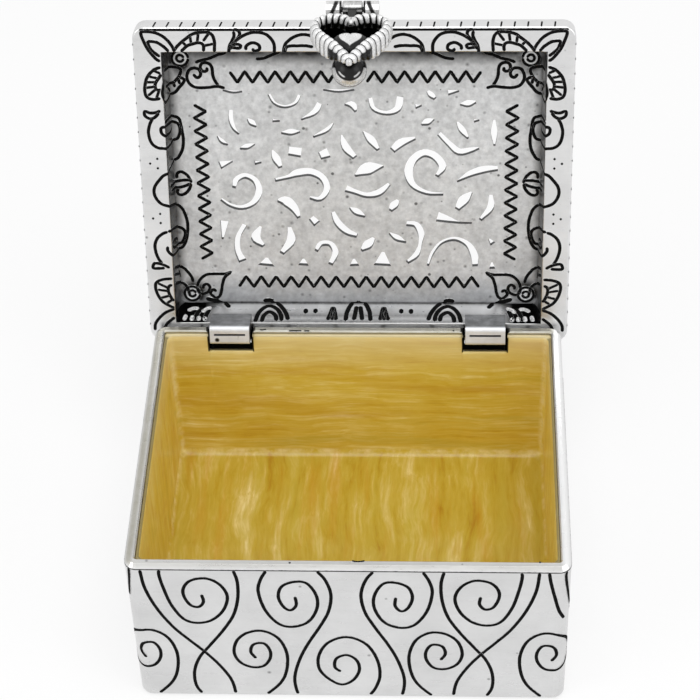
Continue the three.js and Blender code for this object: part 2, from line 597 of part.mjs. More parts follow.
// The heel below the pin that meets the bracket's plate and stops the heart swinging further in
function heel() {
  const plateFace = PULL_REACH - SOLDER_GAP - BRACKET_PLATE;
  const reach = plateFace - STOP_GAP;
  const geometry = new THREE.BoxGeometry(NECK_WIDTH, reach, HEEL_HEIGHT);
  geometry.translate(0, reach / 2, -KNUCKLE_RADIUS + HEEL_HEIGHT / 2);
  geometry.rotateX(-THREE.MathUtils.degToRad(PULL_LEAN));
  return solid(geometry);
}

// The bead that closes the tip of the heart, where the two sides of the rope meet
function ropeTip() {
  const geometry = new THREE.SphereGeometry(ROPE_TIP_RATIO, ROUND_SIDES, ROPE_SIDES);
  geometry.scale(ROPE_RADIUS, ROPE_DEPTH, ROPE_RADIUS);
  geometry.translate(0, -HEART_FORWARD, heartPoint(1, HEART_WIDTH).z - HEART_DROP);
  return solid(geometry);
}

// The heart's rope border with the knuckle that hangs it from the pin
function heartRim() {
  const knuckle = barAlongX(KNUCKLE_RADIUS, KNUCKLE_WIDTH, 0, 0, 0);
  const cleft = heartPoint(0, HEART_WIDTH).z - HEART_DROP;
  const neck = block(NECK_WIDTH, NECK_THICKNESS, -cleft, 0, -HEART_FORWARD, cleft / 2);
  const bore = barAlongX(BORE_RADIUS, 2 * KNUCKLE_WIDTH, 0, 0, 0);
  const rope = ropeHeart(0, ROPE_GROOVE, ROPE_STRANDS * STRAND_STEPS).add(ropeTip());
  return mesh('heart_rim', rope.add(knuckle).add(neck).add(heel()).subtract(bore), silver);
}

// A loop round a whole heart in X and Z, at a place along Y
function heartLoop(width, y, z) {
  const loop = [];
  for (let step = 0; step < 2 * HEART_STEPS; step++) {
    const point = heartPoint(step / HEART_STEPS, width);
    loop.push(new THREE.Vector3(point.x, y, point.z + z));
  }
  return loop;
}

// The blackened plate that closes the heart at the back, cut to fit inside the rope
function heartPlate() {
  const back = HEART_PLATE_BACK - HEART_FORWARD;
  const plate = skin([
    heartLoop(HEART_WIDTH, back - HEART_PLATE, -HEART_DROP),
    heartLoop(HEART_WIDTH, back, -HEART_DROP),
  ], false);
  return mesh('heart_plate', plate.subtract(ropeHeart(PLATE_GAP, 0, 2 * HEART_STEPS)), blackened);
}

// The small puffed heart on the plate: smaller hearts stacked along a quarter round
function smallHeart() {
  const seat = HEART_PLATE_BACK - HEART_FORWARD - HEART_PLATE - SOLDER_GAP;
  const loops = [];
  for (let step = SMALL_HEART_STEPS; step >= 0; step--) {
    const angle = SMALL_HEART_ROUND * step / SMALL_HEART_STEPS;
    const width = SMALL_HEART_WIDTH * Math.cos(angle);
    loops.push(heartLoop(width, seat - SMALL_HEART_RISE * Math.sin(angle), -HEART_DROP - SMALL_HEART_DOWN));
  }
  return mesh('small_heart', skin(loops, false), silver);
}

// The box at rest, the lid turned back about the hinge pins, and the pull resting on its heel
const box = new THREE.Group();
box.add(boxWalls(), basePlate(), enamelWalls(), enamelFloor());
box.add(hingePin('left', -HINGE_X), hingePin('right', HINGE_X));

const lid = new THREE.Group();
lid.position.set(0, -HINGE_Y, -HINGE_Z);
lid.add(lidFrame(), piercedPanel(), catchBead());
lid.add(hingeLug('left', -HINGE_X), hingeLug('right', HINGE_X));

const pullSeat = new THREE.Group();
pullSeat.position.set(0, PULL_Y, PULL_Z);
pullSeat.add(pullBracket(), pullPin());
lid.add(pullSeat);

const pull = new THREE.Group();
pull.rotation.x = THREE.MathUtils.degToRad(PULL_LEAN);
pull.add(heartRim(), heartPlate(), smallHeart());
pullSeat.add(pull);

const lidHinge = new THREE.Group();
lidHinge.position.set(0, HINGE_Y, HINGE_Z);
lidHinge.rotation.x = -OPEN_ANGLE;
lidHinge.add(lid);

const trinketBox = new THREE.Group();
trinketBox.name = 'trinket_box';
trinketBox.add(box, lidHinge);

export default trinketBox;
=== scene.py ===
# %% [markdown]
# A trinket box of cast silver stands open. Its body is lined with streaked honey enamel, its lid
# holds a pierced panel, and a rope-edged heart hangs from the front of the lid as its pull. The
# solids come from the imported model. This lesson adds what a silversmith adds after casting: the
# engraved scrolls, the blackened recesses, the twisted rope and the fired enamel.

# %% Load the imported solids
import math

import bmesh
import bpy
import numpy as np
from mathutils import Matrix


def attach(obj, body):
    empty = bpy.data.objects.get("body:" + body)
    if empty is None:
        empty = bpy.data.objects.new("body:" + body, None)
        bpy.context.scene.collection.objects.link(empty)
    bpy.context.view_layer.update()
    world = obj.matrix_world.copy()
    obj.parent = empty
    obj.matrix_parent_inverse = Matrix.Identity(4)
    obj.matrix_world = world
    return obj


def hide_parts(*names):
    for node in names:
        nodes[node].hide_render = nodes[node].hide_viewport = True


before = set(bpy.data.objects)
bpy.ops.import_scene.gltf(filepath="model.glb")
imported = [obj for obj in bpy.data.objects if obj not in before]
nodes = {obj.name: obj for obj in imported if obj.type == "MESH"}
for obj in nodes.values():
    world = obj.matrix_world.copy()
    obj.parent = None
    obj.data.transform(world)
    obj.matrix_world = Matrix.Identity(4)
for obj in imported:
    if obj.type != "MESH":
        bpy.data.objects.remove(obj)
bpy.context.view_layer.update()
scene = bpy.context.scene
MM = 0.001
print("solids:", ", ".join(sorted(nodes)))

# %% [markdown]
# The camera stands in front of the box, well above it, and looks down at it through a long lens.
# It could be aimed by eye. Here its place and its three turns were worked out from the corners of
# the box in the picture, so that every edge falls where the picture has it.

# %% Camera
IMAGE_SIDE = 700
SENSOR = 36.0
FOCAL_PIXELS = 2274.841
NEAREST = 0.01
camera_place = np.array([19.889, -332.368, 388.444]) * MM
pitch, yaw, roll = np.radians([43.868, 3.39, 2.103])

forward = np.array([-np.sin(yaw) * np.cos(pitch), np.cos(yaw) * np.cos(pitch), -np.sin(pitch)])
level = np.array([np.cos(yaw), np.sin(yaw), 0.0])
down = np.cross(forward, level)
right = np.cos(roll) * level + np.sin(roll) * down
below = -np.sin(roll) * level + np.cos(roll) * down


def put(thing, right, up, back, place):
    """An object set into the scene by its own three axes and its place."""
    pose = np.eye(4)
    pose[:3] = np.column_stack([right, up, back, place])
    thing.matrix_world = pose.T.tolist()
    scene.collection.objects.link(thing)


lens = bpy.data.cameras.new("camera")
lens.lens = FOCAL_PIXELS / IMAGE_SIDE * SENSOR
lens.sensor_width = SENSOR
lens.sensor_fit = "HORIZONTAL"
lens.clip_start = NEAREST
camera = bpy.data.objects.new("camera", lens)
put(camera, right, -below, -forward, camera_place)
scene.camera = camera
scene.view_settings.view_transform = "Standard"
print("lens", round(lens.lens, 2), "mm")

# %% [markdown]
# Materials are built from nodes. One small helper makes a node, sets its options and joins its
# sockets, so that each finish below reads as a recipe and not as a list of links.

# %% Node helpers
def link(value, socket):
    """A value led into a socket."""
    socket.id_data.links.new(value, socket)


def node(kind, sockets, tree=None, **options):
    """One shader node: options are its settings, sockets its inputs, as links or plain values. It
    goes into the tree that its links come from, or into the one that is named."""
    links = [key for key, value in sockets.items() if isinstance(value, bpy.types.NodeSocket)]
    made = (tree or sockets[links[0]].id_data).nodes.new("ShaderNode" + kind)
    for name, value in options.items():
        setattr(made, name, value)
    for key, value in sockets.items():
        if key in links:
            link(value, made.inputs[key])
        else:
            made.inputs[key].default_value = value
    return made


def math_node(operation, first, second=0.0, clamp=False):
    """first operation second, such as a product or a sum."""
    made = node("Math", {0: first, 1: second}, operation=operation, use_clamp=clamp)
    return made.outputs[0]


def span(value, low, high, to_low=0.0, to_high=1.0):
    """The value stretched straight from low..high to to_low..to_high, and held at the ends."""
    made = node("MapRange", {0: value, 1: low, 2: high, 3: to_low, 4: to_high}, clamp=True)
    return made.outputs[0]


def blend(share, first, second):
    """A colour that goes from first to second as the share goes from 0 to 1."""
    return node("Mix", {0: share, 6: first, 7: second}, data_type="RGBA").outputs[2]


def choose(share, first, second):
    """A number that goes from first to second as the share goes from 0 to 1."""
    return node("Mix", {0: share, 2: first, 3: second}).outputs[0]


def ramp(value, stops):
    """A colour read off a scale of (place, colour) stops."""
    made = node("ValToRGB", {0: value})
    scale = made.color_ramp.elements
    while len(scale) < len(stops):
        scale.new(0.5)
    for element, (place, colour) in zip(scale, stops):
        element.position = place
        element.color = colour
    return made.outputs[0]


def stretch(vector, scale, place=(0, 0, 0), turn=(0, 0, 0)):
    """Coordinates turned, moved and scaled, so that a pattern runs long in one direction."""
    sockets = {"Vector": vector, "Location": place, "Rotation": turn, "Scale": scale}
    return node("Mapping", sockets).outputs[0]


def parts(vector):
    """The three numbers of a vector."""
    return tuple(node("SeparateXYZ", {0: vector}).outputs)


def srgb(red, green, blue):
    """A colour given as 0 to 255 on a screen, as the light it stands for."""
    screen = np.array([red, green, blue]) / 255
    light = np.where(screen <= 0.04045, screen / 12.92, ((screen + 0.055) / 1.055) ** 2.4)
    return (*light.tolist(), 1.0)


def grey(level):
    """A grey given as 0 to 255 on a screen."""
    return srgb(level, level, level)


print("a mid silver renders as", [round(part, 3) for part in grey(212)])

# %% [markdown]
# A mask is a number that is 1 where something shows and 0 where it doesn't. Dirt, wear and
# blackening are all masks, drawn from where a point lies on its piece. A few words are enough to
# put them together: near a place, both at once, either of two.

# %% Masks
def plus(first, second):
    """The sum of two numbers."""
    return math_node("ADD", first, second)


def minus(first, second):
    """The first number less the second."""
    return math_node("SUBTRACT", first, second)


def size_of(value):
    """A number without its sign, for what is the same on the left and the right."""
    return math_node("ABSOLUTE", value)


def both(*masks):
    """The product of masks: 1 only where all of them are 1."""
    product = masks[0]
    for mask in masks[1:]:
        product = math_node("MULTIPLY", product, mask)
    return product


def either(*masks):
    """The greatest of masks: 1 where any of them is 1."""
    greatest = masks[0]
    for mask in masks[1:]:
        greatest = math_node("MAXIMUM", greatest, mask)
    return greatest


def near(value, middle, half, soft):
    """1 within half of the middle, falling to 0 over a soft edge."""
    return span(size_of(minus(value, middle)), half, half + soft, 1.0, 0.0)


def distance(x, y, spot):
    """How far a point (x, y) lies from a spot."""
    flat = node("CombineXYZ", {0: x, 1: y}).outputs[0]
    away = node("VectorMath", {0: flat, 1: (*spot, 0.0)}, operation="DISTANCE")
    return away.outputs["Value"]


def millimetres(vector):
    """The x, y and z of a place, in millimetres."""
    return parts(stretch(vector, (1 / MM,) * 3))


print("masks are drawn in millimetres, at", round(1 / MM), "to the metre")

# %% [markdown]
# The stage is a pale table and soft light from large lamps. The white round the box is the colour
# of the table and the room, never more lamp light: the room is plain white to the lens and to what
# metal reflects, and a softer grey to everything that is only lit by it.

# %% Stage and light
AMBIENT, LIT_SHARE = 0.62, 0.3
TABLE, TABLE_DROP = 3.0, 0.0002
LAMPS = {  # place, aim, size and watts
    "lamp_over": ((0.1, -0.25, 1.0), (0.0, 0.0, 0.03), 0.7, 4.6),
    "lamp_left": ((-0.9, -0.6, 0.7), (0.0, 0.0, 0.05), 0.6, 2.4),
    "lamp_right": ((0.9, -0.5, 0.6), (0.0, 0.0, 0.05), 0.6, 1.6),
}


def room_rays(tree):
    """1 for rays that see the room, straight, mirrored or through glass, and 0 for its light."""
    path = node("LightPath", {}, tree).outputs
    return either(path["Is Camera Ray"], path["Is Glossy Ray"], path["Is Transmission Ray"])


world = bpy.data.worlds.new("room")
scene.world = world
world.use_nodes = True
tree = world.node_tree
tree.nodes.clear()
strength = span(room_rays(tree), 0.0, 1.0, AMBIENT, 1.0)
background = node("Background", {"Color": (1, 1, 1, 1), "Strength": strength})
node("OutputWorld", {"Surface": background.outputs[0]})

table_material = bpy.data.materials.new("pale_table")
table_material.use_nodes = True
tree = table_material.node_tree
tree.nodes.clear()
matt = node("BsdfDiffuse", {"Color": (0.9, 0.9, 0.9, 1)}, tree)
white = node("Emission", {"Color": (1, 1, 1, 1), "Strength": 1.0}, tree)
share = both(room_rays(tree), 1.0 - LIT_SHARE)
mixed = node("MixShader", {0: share, 1: matt.outputs[0], 2: white.outputs[0]})
node("OutputMaterial", {"Surface": mixed.outputs[0]})

table_mesh = bpy.data.meshes.new("table")
corners = [(x * TABLE, y * TABLE, 0) for x, y in ((-1, -1), (1, -1), (1, 1), (-1, 1))]
table_mesh.from_pydata(corners, [], [(0, 1, 2, 3)])
table_mesh.materials.append(table_material)
table = bpy.data.objects.new("table", table_mesh)
table.location.z = -TABLE_DROP
scene.collection.objects.link(table)

for name, (place, aim, size, watts) in LAMPS.items():
    data = bpy.data.lights.new(name, "AREA")
    data.size = size
    data.energy = watts
    back = np.array(place) - np.array(aim)
    back /= np.linalg.norm(back)
    side = np.cross([0.0, 0.0, 1.0], back)
    side /= np.linalg.norm(side)
    put(bpy.data.objects.new(name, data), side, np.cross(back, side), back, place)
print(len(LAMPS), "lamps and a white room")

# %% [markdown]
# Cast silver is never quite even. Three effects give it its life: a cloudy tone, fine polishing
# lines and small casting pits. Each is a node group that is built once and placed in every finish
# with its own values.

# %% Shared surface effects
def effect(name, inputs, output):
    """An empty shader node group: the group, its inputs by name, and the socket it gives out."""
    group = bpy.data.node_groups.new(name, "ShaderNodeTree")
    for label, value in inputs.items():
        kind = "NodeSocketVector" if value is None else "NodeSocketFloat"
        socket = group.interface.new_socket(name=label, in_out="INPUT", socket_type=kind)
        if value is not None:
            socket.default_value = value
    group.interface.new_socket(name=output, in_out="OUTPUT", socket_type="NodeSocketFloat")
    given = group.nodes.new("NodeGroupInput").outputs
    return group, given, group.nodes.new("NodeGroupOutput").inputs[output]


def uneven_tone(name, output, detail, roughness, low, high):
    """An effect made of one noise, with its range from low to high stretched to 0..1."""
    group, given, result = effect(name, {"Vector": None, "Scale": 100.0}, output)
    noise = node("TexNoise", {"Vector": given["Vector"], "Scale": given["Scale"],
                              "Detail": detail, "Roughness": roughness})
    link(span(noise.outputs["Fac"], low, high), result)
    return group


cloud = uneven_tone("cloudy_tone", "Tone", 5.0, 0.62, 0.3, 0.7)
polish = uneven_tone("polishing_lines", "Lines", 3.0, 0.7, 0.25, 0.75)

pits, given, result = effect(
    "casting_pits", {"Vector": None, "Scale": 600.0, "Share": 0.2, "Radius": 0.2}, "Pits")
cells = node("TexVoronoi", {"Vector": given["Vector"], "Scale": given["Scale"]}).outputs
pick = node("SeparateColor", {0: cells["Color"]}).outputs[0]
chosen = math_node("LESS_THAN", pick, given["Share"])
size = both(given["Radius"], plus(0.4, math_node("DIVIDE", pick, given["Share"])))
share = math_node("DIVIDE", cells["Distance"], size)
depth = math_node("SUBTRACT", 1.0, share, clamp=True)
link(both(chosen, depth), result)


def use(group, vector, **values):
    """A group placed in a material, with its own values."""
    made = vector.id_data.nodes.new("ShaderNodeGroup")
    made.node_tree = group
    link(vector, made.inputs["Vector"])
    for label, value in values.items():
        made.inputs[label].default_value = value
    return made.outputs[0]


print("effects:", cloud.name, polish.name, pits.name)

# %% [markdown]
# Every metal finish starts the same way: a tone that drifts, lines of polish that change how sharp
# the reflections are, and pits. The dark mask of each piece, patina together with painted shade, is
# laid over that.

# %% Metal finish
LINE_SCALE, LINE_SHARE = 900.0, 0.3
PIT_SCALE, PIT_RADIUS, PIT_DARK = 520.0, 0.22, 0.8
DENT = 0.0002


def finish(name):
    """An empty material, its Principled shader's inputs, and the object's coordinates."""
    material = bpy.data.materials.new(name)
    material.use_nodes = True
    tree = material.node_tree
    tree.nodes.clear()
    shader = node("BsdfPrincipled", {}, tree)
    node("OutputMaterial", {"Surface": shader.outputs[0]})
    return material, shader.inputs, node("TexCoord", {}, tree).outputs


def metal(shader, place, dark_tone, light_tone, rough, patina_and_shade=None, black=None,
          cloud_scale=90.0, pit_share=0.05, grain=(1, 1, 1), bump=0.04, shine=1.0):
    """Silver whose tone drifts between two greys, with polish lines, pits and a mask of patina and
    painted shade. Its colour is given back, for a finish that lays more over it."""
    vector = place["Object"]
    tone = use(cloud, vector, Scale=cloud_scale)
    lines = use(polish, stretch(vector, grain), Scale=LINE_SCALE)
    specks = use(pits, vector, Scale=PIT_SCALE, Share=pit_share, Radius=PIT_RADIUS)
    fine = both(lines, LINE_SHARE)
    mixed = plus(both(tone, 1 - LINE_SHARE), fine)
    colour = blend(mixed, dark_tone, light_tone)
    colour = blend(both(specks, PIT_DARK), colour, grey(60))
    if patina_and_shade is not None:
        colour = blend(patina_and_shade, colour, black)
    shader["Metallic"].default_value = shine
    link(colour, shader["Base Color"])
    link(span(lines, 0.0, 1.0, rough - 0.06, rough + 0.08), shader["Roughness"])
    height = minus(fine, specks)
    dent = node("Bump", {"Height": height, "Strength": bump, "Distance": DENT})
    link(dent.outputs[0], shader["Normal"])
    return colour


def dress(name, material):
    """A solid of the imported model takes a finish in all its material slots."""
    solid = nodes[name]
    solid.data.materials.clear()
    solid.data.materials.append(material)


def ease_edges(name, width):
    """A cast edge is never sharp: a solid's points are joined and its edges bevelled narrowly."""
    nodes[name].modifiers.new("join", "WELD").merge_threshold = 1e-6
    bevel = nodes[name].modifiers.new("eased_edge", "BEVEL")
    bevel.width = width * MM
    bevel.segments = 2
    bevel.limit_method = "ANGLE"
    bevel.angle_limit = math.radians(40)


# The pins are painted dark as shade: they sit in the shadow of the hinges.
pin_steel, shader, place = finish("pin_steel")
metal(shader, place, grey(46), grey(80), 0.4)
base_silver, shader, place = finish("base_silver")
metal(shader, place, grey(180), grey(204), 0.42)
for name in ("hinge_pin_left", "hinge_pin_right", "pull_pin"):
    dress(name, pin_steel)
dress("base_plate", base_silver)
print("metals:", pin_steel.name, base_silver.name)

# %% [markdown]
# The body is polished on its faces. Its rim takes a cream tint at the back, where the enamel was
# wiped over it; painted shade greys the left of the rim with the same cream, and the front takes a
# little of it, while a painted highlight makes the right side of the rim bright. Painted shadow
# blackens the two hinge notches.

# %% Body finish
BODY_X, BODY_Y, BODY_CORNER = 45.0, 35.4, 2.6
BODY_TOP = 42.0
RIM_IN, RIM_OUT = 2.2, 1.2
NOTCH_X, NOTCH_HALF, NOTCH_FLOOR = 28.3, 4.9, 36.57
CREAM_RIM, RIM_HIGHLIGHT = srgb(165, 162, 150), grey(240)

body_silver, shader, place = finish("body_silver")
x, y, z = millimetres(place["Object"])
# Painted shadow: the hinge notches are black under the lugs.
notch_shadow_mask = both(near(size_of(x), NOTCH_X, NOTCH_HALF + 0.12, 0.1),
                span(y, BODY_Y - 2.3, BODY_Y - 2.1),
                span(y, BODY_Y - 0.1, BODY_Y - 0.02, 1.0, 0.0),
                span(z, NOTCH_FLOOR - 0.1, NOTCH_FLOOR))
wear = use(cloud, place["Object"], Scale=320.0)
on_rim = span(z, BODY_TOP - 0.9, BODY_TOP - 0.25)
by_back = span(y, BODY_Y - 2.6, BODY_Y - 2.2)
by_left = span(x, RIM_IN - BODY_X, RIM_OUT - BODY_X, 0.0, 0.9)
by_front = span(y, RIM_IN - BODY_Y, RIM_OUT - BODY_Y, 0.0, 0.35)
# Painted highlight: the right side of the rim is bright.
right_rim_highlight = both(on_rim, span(x, BODY_X - RIM_IN, BODY_X - RIM_OUT))
# The back of the rim takes the enamel's cream stain; painted shade greys its left side with the
# same cream, and the front takes a little of it.
rim_stain_and_shade = both(on_rim, either(by_back, by_left, by_front), span(wear, 0.0, 1.0, 0.75, 1.05))
bright = metal(shader, place, grey(206), grey(224), 0.3, notch_shadow_mask, grey(4), grain=(0.15, 1, 1))
rim_stain_and_shade_colour = blend(math_node("MINIMUM", rim_stain_and_shade, 1.0), bright, CREAM_RIM)
link(blend(right_rim_highlight, rim_stain_and_shade_colour, RIM_HIGHLIGHT), shader["Base Color"])
dress("box_walls", body_silver)
ease_edges("box_walls", 0.16)
print("body finish has", len(body_silver.node_tree.nodes), "nodes")

# %% [markdown]
# The lid is drawn closed, where its underside is a plain level plate, and then turned back about
# the hinge pins to where it stands. The same turn, put into a Mapping node, lets a finish ask how
# far a point lies below the lid's rim.

# %% The lid's turn
HINGE_Y, HINGE_Z = 34.35, 40.1
OPEN = np.radians(106.11014)
LID_BOTTOM = 42.1
RECESS = 6.0
FLANGE_X, FLANGE_Y, FLANGE_FRONT_Y = 40.65, 32.5, -31.4
LEDGE = 5.9
DRAFT_X, DRAFT_Y = 0.7 * RECESS / LEDGE, 2.1 * RECESS / LEDGE
LID_X, LID_Y = 46.55, 36.95


def opened(points):
    """Closed-lid points turned back by the opening angle about the hinge axis."""
    x, y, z = points[..., 0], points[..., 1] - HINGE_Y, points[..., 2] - HINGE_Z
    back = HINGE_Y + y * np.cos(OPEN) + z * np.sin(OPEN)
    up = HINGE_Z - y * np.sin(OPEN) + z * np.cos(OPEN)
    return np.stack([x, back, up], axis=-1)


def closed_lid(vector):
    """The object's coordinates turned forward again, in millimetres above the lid's rim."""
    hinge_back = HINGE_Y * np.cos(OPEN) - HINGE_Z * np.sin(OPEN)
    hinge_up = HINGE_Y * np.sin(OPEN) + HINGE_Z * np.cos(OPEN)
    place = (0.0, HINGE_Y - hinge_back, HINGE_Z - hinge_up - LID_BOTTOM)
    return stretch(vector, (1 / MM,) * 3, place, (float(OPEN), 0.0, 0.0))


print("lid's far edge stands at", opened(np.array([0.0, -LID_Y, LID_BOTTOM])).round(1))

# %% [markdown]
# The recess under the lid was dipped in a blackening bath and then rubbed bright on its high
# faces. The walls keep the black. The mask here is that patina together with painted shade, drawn
# from the depth below the rim: black at the rim's edge, where shade is painted, lighter towards the
# panel, banded in painted light and shade on the wall by the hinges and black in its corners. It is
# a little darker on the left than on the right, and lighter round the leaves on the side walls,
# where a highlight is painted.

# %% Lid frame finish
SIDE_WALL = [(0.0, 255), (0.16, 254), (0.24, 236), (0.6, 226), (1.0, 196)]
HINGE_WALL = [(0.0, 225), (0.12, 190), (0.22, 130), (0.36, 205), (0.52, 120), (0.72, 20),
              (0.86, 90), (0.95, 235), (1.0, 250)]
HINGE_CORNER_X = (31.0, 34.5)
FRONT_CORNER_X, FRONT_CORNER_Y = (33.0, 38.0), (-26.5, -28.5)
LEAF_X, LEAF_Y = (37.0, 38.5), (23.3, 3.2, 1.4)
SEAM = 0.02

lid_silver, shader, place = finish("lid_silver")
closed = closed_lid(place["Object"])
along, across, rise = parts(closed)
aside = size_of(along)
depth = math_node("DIVIDE", rise, RECESS)
inside = both(math_node("LESS_THAN", aside, FLANGE_X + SEAM),
              math_node("LESS_THAN", across, FLANGE_Y + SEAM),
              math_node("GREATER_THAN", across, FLANGE_FRONT_Y - SEAM))
at_hinge = math_node("GREATER_THAN", across, FLANGE_Y - DRAFT_Y - SEAM)
# The side wall's ramp is the blackening with painted shade at the rim's edge; the hinge wall's ramp
# is painted bands of light and shade.
side_tone, hinge_tone = (ramp(depth, [(at, grey(level)) for at, level in stops])
                         for stops in (SIDE_WALL, HINGE_WALL))
hinge_corner = both(at_hinge, span(aside, *HINGE_CORNER_X))
front_corner = both(span(across, *FRONT_CORNER_Y), span(aside, *FRONT_CORNER_X),
                    span(depth, 1.0, 0.5, 0.0, 0.9))
# Painted highlight: the side walls are lighter round the leaves.
painted_leaf_highlight = both(near(size_of(across), *LEAF_Y), span(aside, *LEAF_X), span(depth, 0.15, 0.45))
streaks = use(polish, stretch(closed, (1.2, 1.2, 0.1)), Scale=1.4)
# Rubbed streaks, a little darker on the left than on the right, and lighter under the painted leaf
# highlight.
rubbed_and_lit = both(span(streaks, 0.0, 1.0, 0.74, 1.1),
              span(along, -10.0, 10.0, 1.0, 0.85),
              span(painted_leaf_highlight, 0.0, 1.0, 1.0, 0.45))
wall_dark = both(blend(at_hinge, side_tone, hinge_tone), rubbed_and_lit)
dark = either(wall_dark, hinge_corner, front_corner)
patina_and_shade = math_node("MULTIPLY", inside, dark, clamp=True)
metal(shader, place, grey(208), grey(230), 0.3, patina_and_shade, grey(8), grain=(0.2, 1, 1))
dress("lid_frame", lid_silver)
ease_edges("lid_frame", 0.16)
print("lid frame finish has", len(lid_silver.node_tree.nodes), "nodes")

# %% [markdown]
# A hinge lug is bright where it faces the room and darker on the face that slides past the wall.
# Its slot is black, painted shadow blackens its flanks, and a casting pit shows on the left one.

# %% Hinge lug finish
LUG_FACE, LUG_FOOT, LUG_HALF = 31.15, -5.0, 4.45
SLOT_Y, SLOT_HALF, SLOT_LONG = 33.05, 0.24, 3.4
LUG_PIT = (-31.1, 34.3)

lug_silver, shader, place = finish("lug_silver")
along, across, rise = parts(closed_lid(place["Object"]))
aside = size_of(minus(size_of(along), NOTCH_X))
smoke = use(cloud, place["Object"], Scale=420.0)
darker_face = both(span(across, LUG_FACE + 0.12, LUG_FACE + 0.5, 1.0, 0.0),
            span(rise, LUG_FOOT + 0.5, LUG_FOOT + 1.0),
            span(smoke, 0.0, 1.0, 0.6, 0.85))
# Painted shadow: the flanks are black in the gap beside the notch walls.
flank_shadow = span(aside, LUG_HALF - 0.1, LUG_HALF - 0.02, 0.0, 0.92)
slot = both(near(across, SLOT_Y, SLOT_HALF, 0.05),
            span(aside, SLOT_LONG, SLOT_LONG + 0.1, 1.0, 0.0),
            span(rise, LUG_FOOT + 0.02, LUG_FOOT + 0.06))
pit = span(distance(along, across, LUG_PIT), 0.35, 0.6, 1.0, 0.0)
metal(shader, place, srgb(206, 208, 211), srgb(236, 238, 241), 0.32,
      either(darker_face, flank_shadow, slot, pit), grey(14), pit_share=0.2, shine=0.25)
for name in ("hinge_lug_left", "hinge_lug_right"):
    dress(name, lug_silver)
    ease_edges(name, 0.55)
print("lug finish has", len(lug_silver.node_tree.nodes), "nodes")

# %% [markdown]
# The pierced panel is duller than the frame. Its face is cloudy, pitted and spotted, and painted a
# shade cooler by the hinges to offset the warm light the enamel throws there. The walls of its
# holes are black, painted shade gathers where it meets the recess walls, and grime lies round the
# bright middle of each corner rosette.

# %% Panel finish
ROSETTE_X, ROSETTE_Y, ROSETTE_SHIFT = 37.4, 28.0, -0.2
BRIGHT_MIDDLE, GRIME_FROM, GRIME_TO = (1.6, 1.8), (1.7, 1.9), (2.4, 5.0, 1.0, 0.0)
SIDE_SHADE, FRONT_SHADE = (0.0, 1.8, 0.8, 0.0), (2.6, 5.5, 0.97, 0.0)
HINGE_SHADE, HINGE_HAZE = (0.0, 0.9, 0.85, 0.0), (0.0, 8.0, 0.5, 0.0)
PANEL_DARK = srgb(180, 181, 182), srgb(181, 182, 185)
PANEL_LIGHT = srgb(230, 231, 232), srgb(230, 232, 235)

panel_silver, shader, place = finish("panel_silver")
along, across, rise = parts(closed_lid(place["Object"]))
facing = stretch(place["Normal"], (1, 1, 1), turn=(float(OPEN), 0.0, 0.0))
hole_wall = math_node("LESS_THAN", size_of(parts(facing)[2]), 0.5)
aside = size_of(along)
to_side = minus(FLANGE_X - DRAFT_X, aside)
to_front = minus(across, FLANGE_FRONT_Y)
to_hinge = minus(FLANGE_Y - DRAFT_Y, across)
to_rosette = distance(aside, size_of(plus(across, ROSETTE_SHIFT)), (ROSETTE_X, ROSETTE_Y))
smoke = use(cloud, place["Object"], Scale=150.0)
spots = use(pits, place["Object"], Scale=330.0, Share=0.3, Radius=0.14)
underside = span(rise, RECESS + 0.3, RECESS + 0.5, 1.0, 0.0)
# Painted shade where the panel meets the recess walls.
by_walls = either(span(to_side, *SIDE_SHADE), span(to_front, *FRONT_SHADE),
                  span(to_hinge, *HINGE_SHADE), span(to_hinge, *HINGE_HAZE))
shade = both(by_walls, span(smoke, 0.0, 1.0, 0.7, 1.15), span(underside, 0.0, 1.0, 0.6, 1.0),
             span(to_rosette, *BRIGHT_MIDDLE))
grime = both(underside, span(to_rosette, *GRIME_FROM), span(to_rosette, *GRIME_TO),
             span(smoke, 0.3, 0.6, 0.6, 1.0))
patina_and_shade = either(shade, grime, both(hole_wall, 0.95),
                span(spots, 0.1, 0.5, 0.0, 0.8), span(smoke, 0.4, 1.0, 0.0, 0.14))
# Painted a shade cooler by the hinges, to offset the warm light the enamel throws there.
by_hinge = span(across, 2.0, 26.0)
metal(shader, place, blend(by_hinge, *PANEL_DARK), blend(by_hinge, *PANEL_LIGHT), 0.45, patina_and_shade,
      grey(10), cloud_scale=700.0, pit_share=0.45, bump=0.14, shine=0.35)
dress("pierced_panel", panel_silver)
print("panel finish has", len(panel_silver.node_tree.nodes), "nodes")

# %% [markdown]
# The engraving is a cut with a tiny burr along both its edges, filled with black. It could be
# painted on, but then it would vanish at a grazing look. Here each line is a real strip of metal: a
# profile with two raised lips is carried along the line's path, bent over whatever surface the
# line lies on.

# %% Lines on surfaces
LINE, LIP, GAP, SAMPLES = 0.8, 0.06, 0.22, 24
ACROSS = np.array([-1.0, -0.9, -0.8, 0.0, 0.8, 0.9, 1.0])
LIFT = np.array([-0.5, 1.0, 0.6, 0.5, 0.6, 1.0, -0.5]) * LIP


def smooth_path(points):
    """A Catmull-Rom curve through points: each stretch is a cubic of its four nearest points."""
    p = np.asarray(points, float)
    p = np.vstack([2 * p[0] - p[1], p, 2 * p[-1] - p[-2]])
    t = np.linspace(0, 1, SAMPLES, endpoint=False)[None, :, None]
    a, b, c, d = (p[k:len(p) - 3 + k, None, :] for k in range(4))
    curve = 0.5 * (2 * b + (c - a) * t + (2 * a - 5 * b + 4 * c - d) * t ** 2
                   + (3 * b - a - 3 * c + d) * t ** 3)
    return np.vstack([curve.reshape(-1, p.shape[1]), p[-2]])


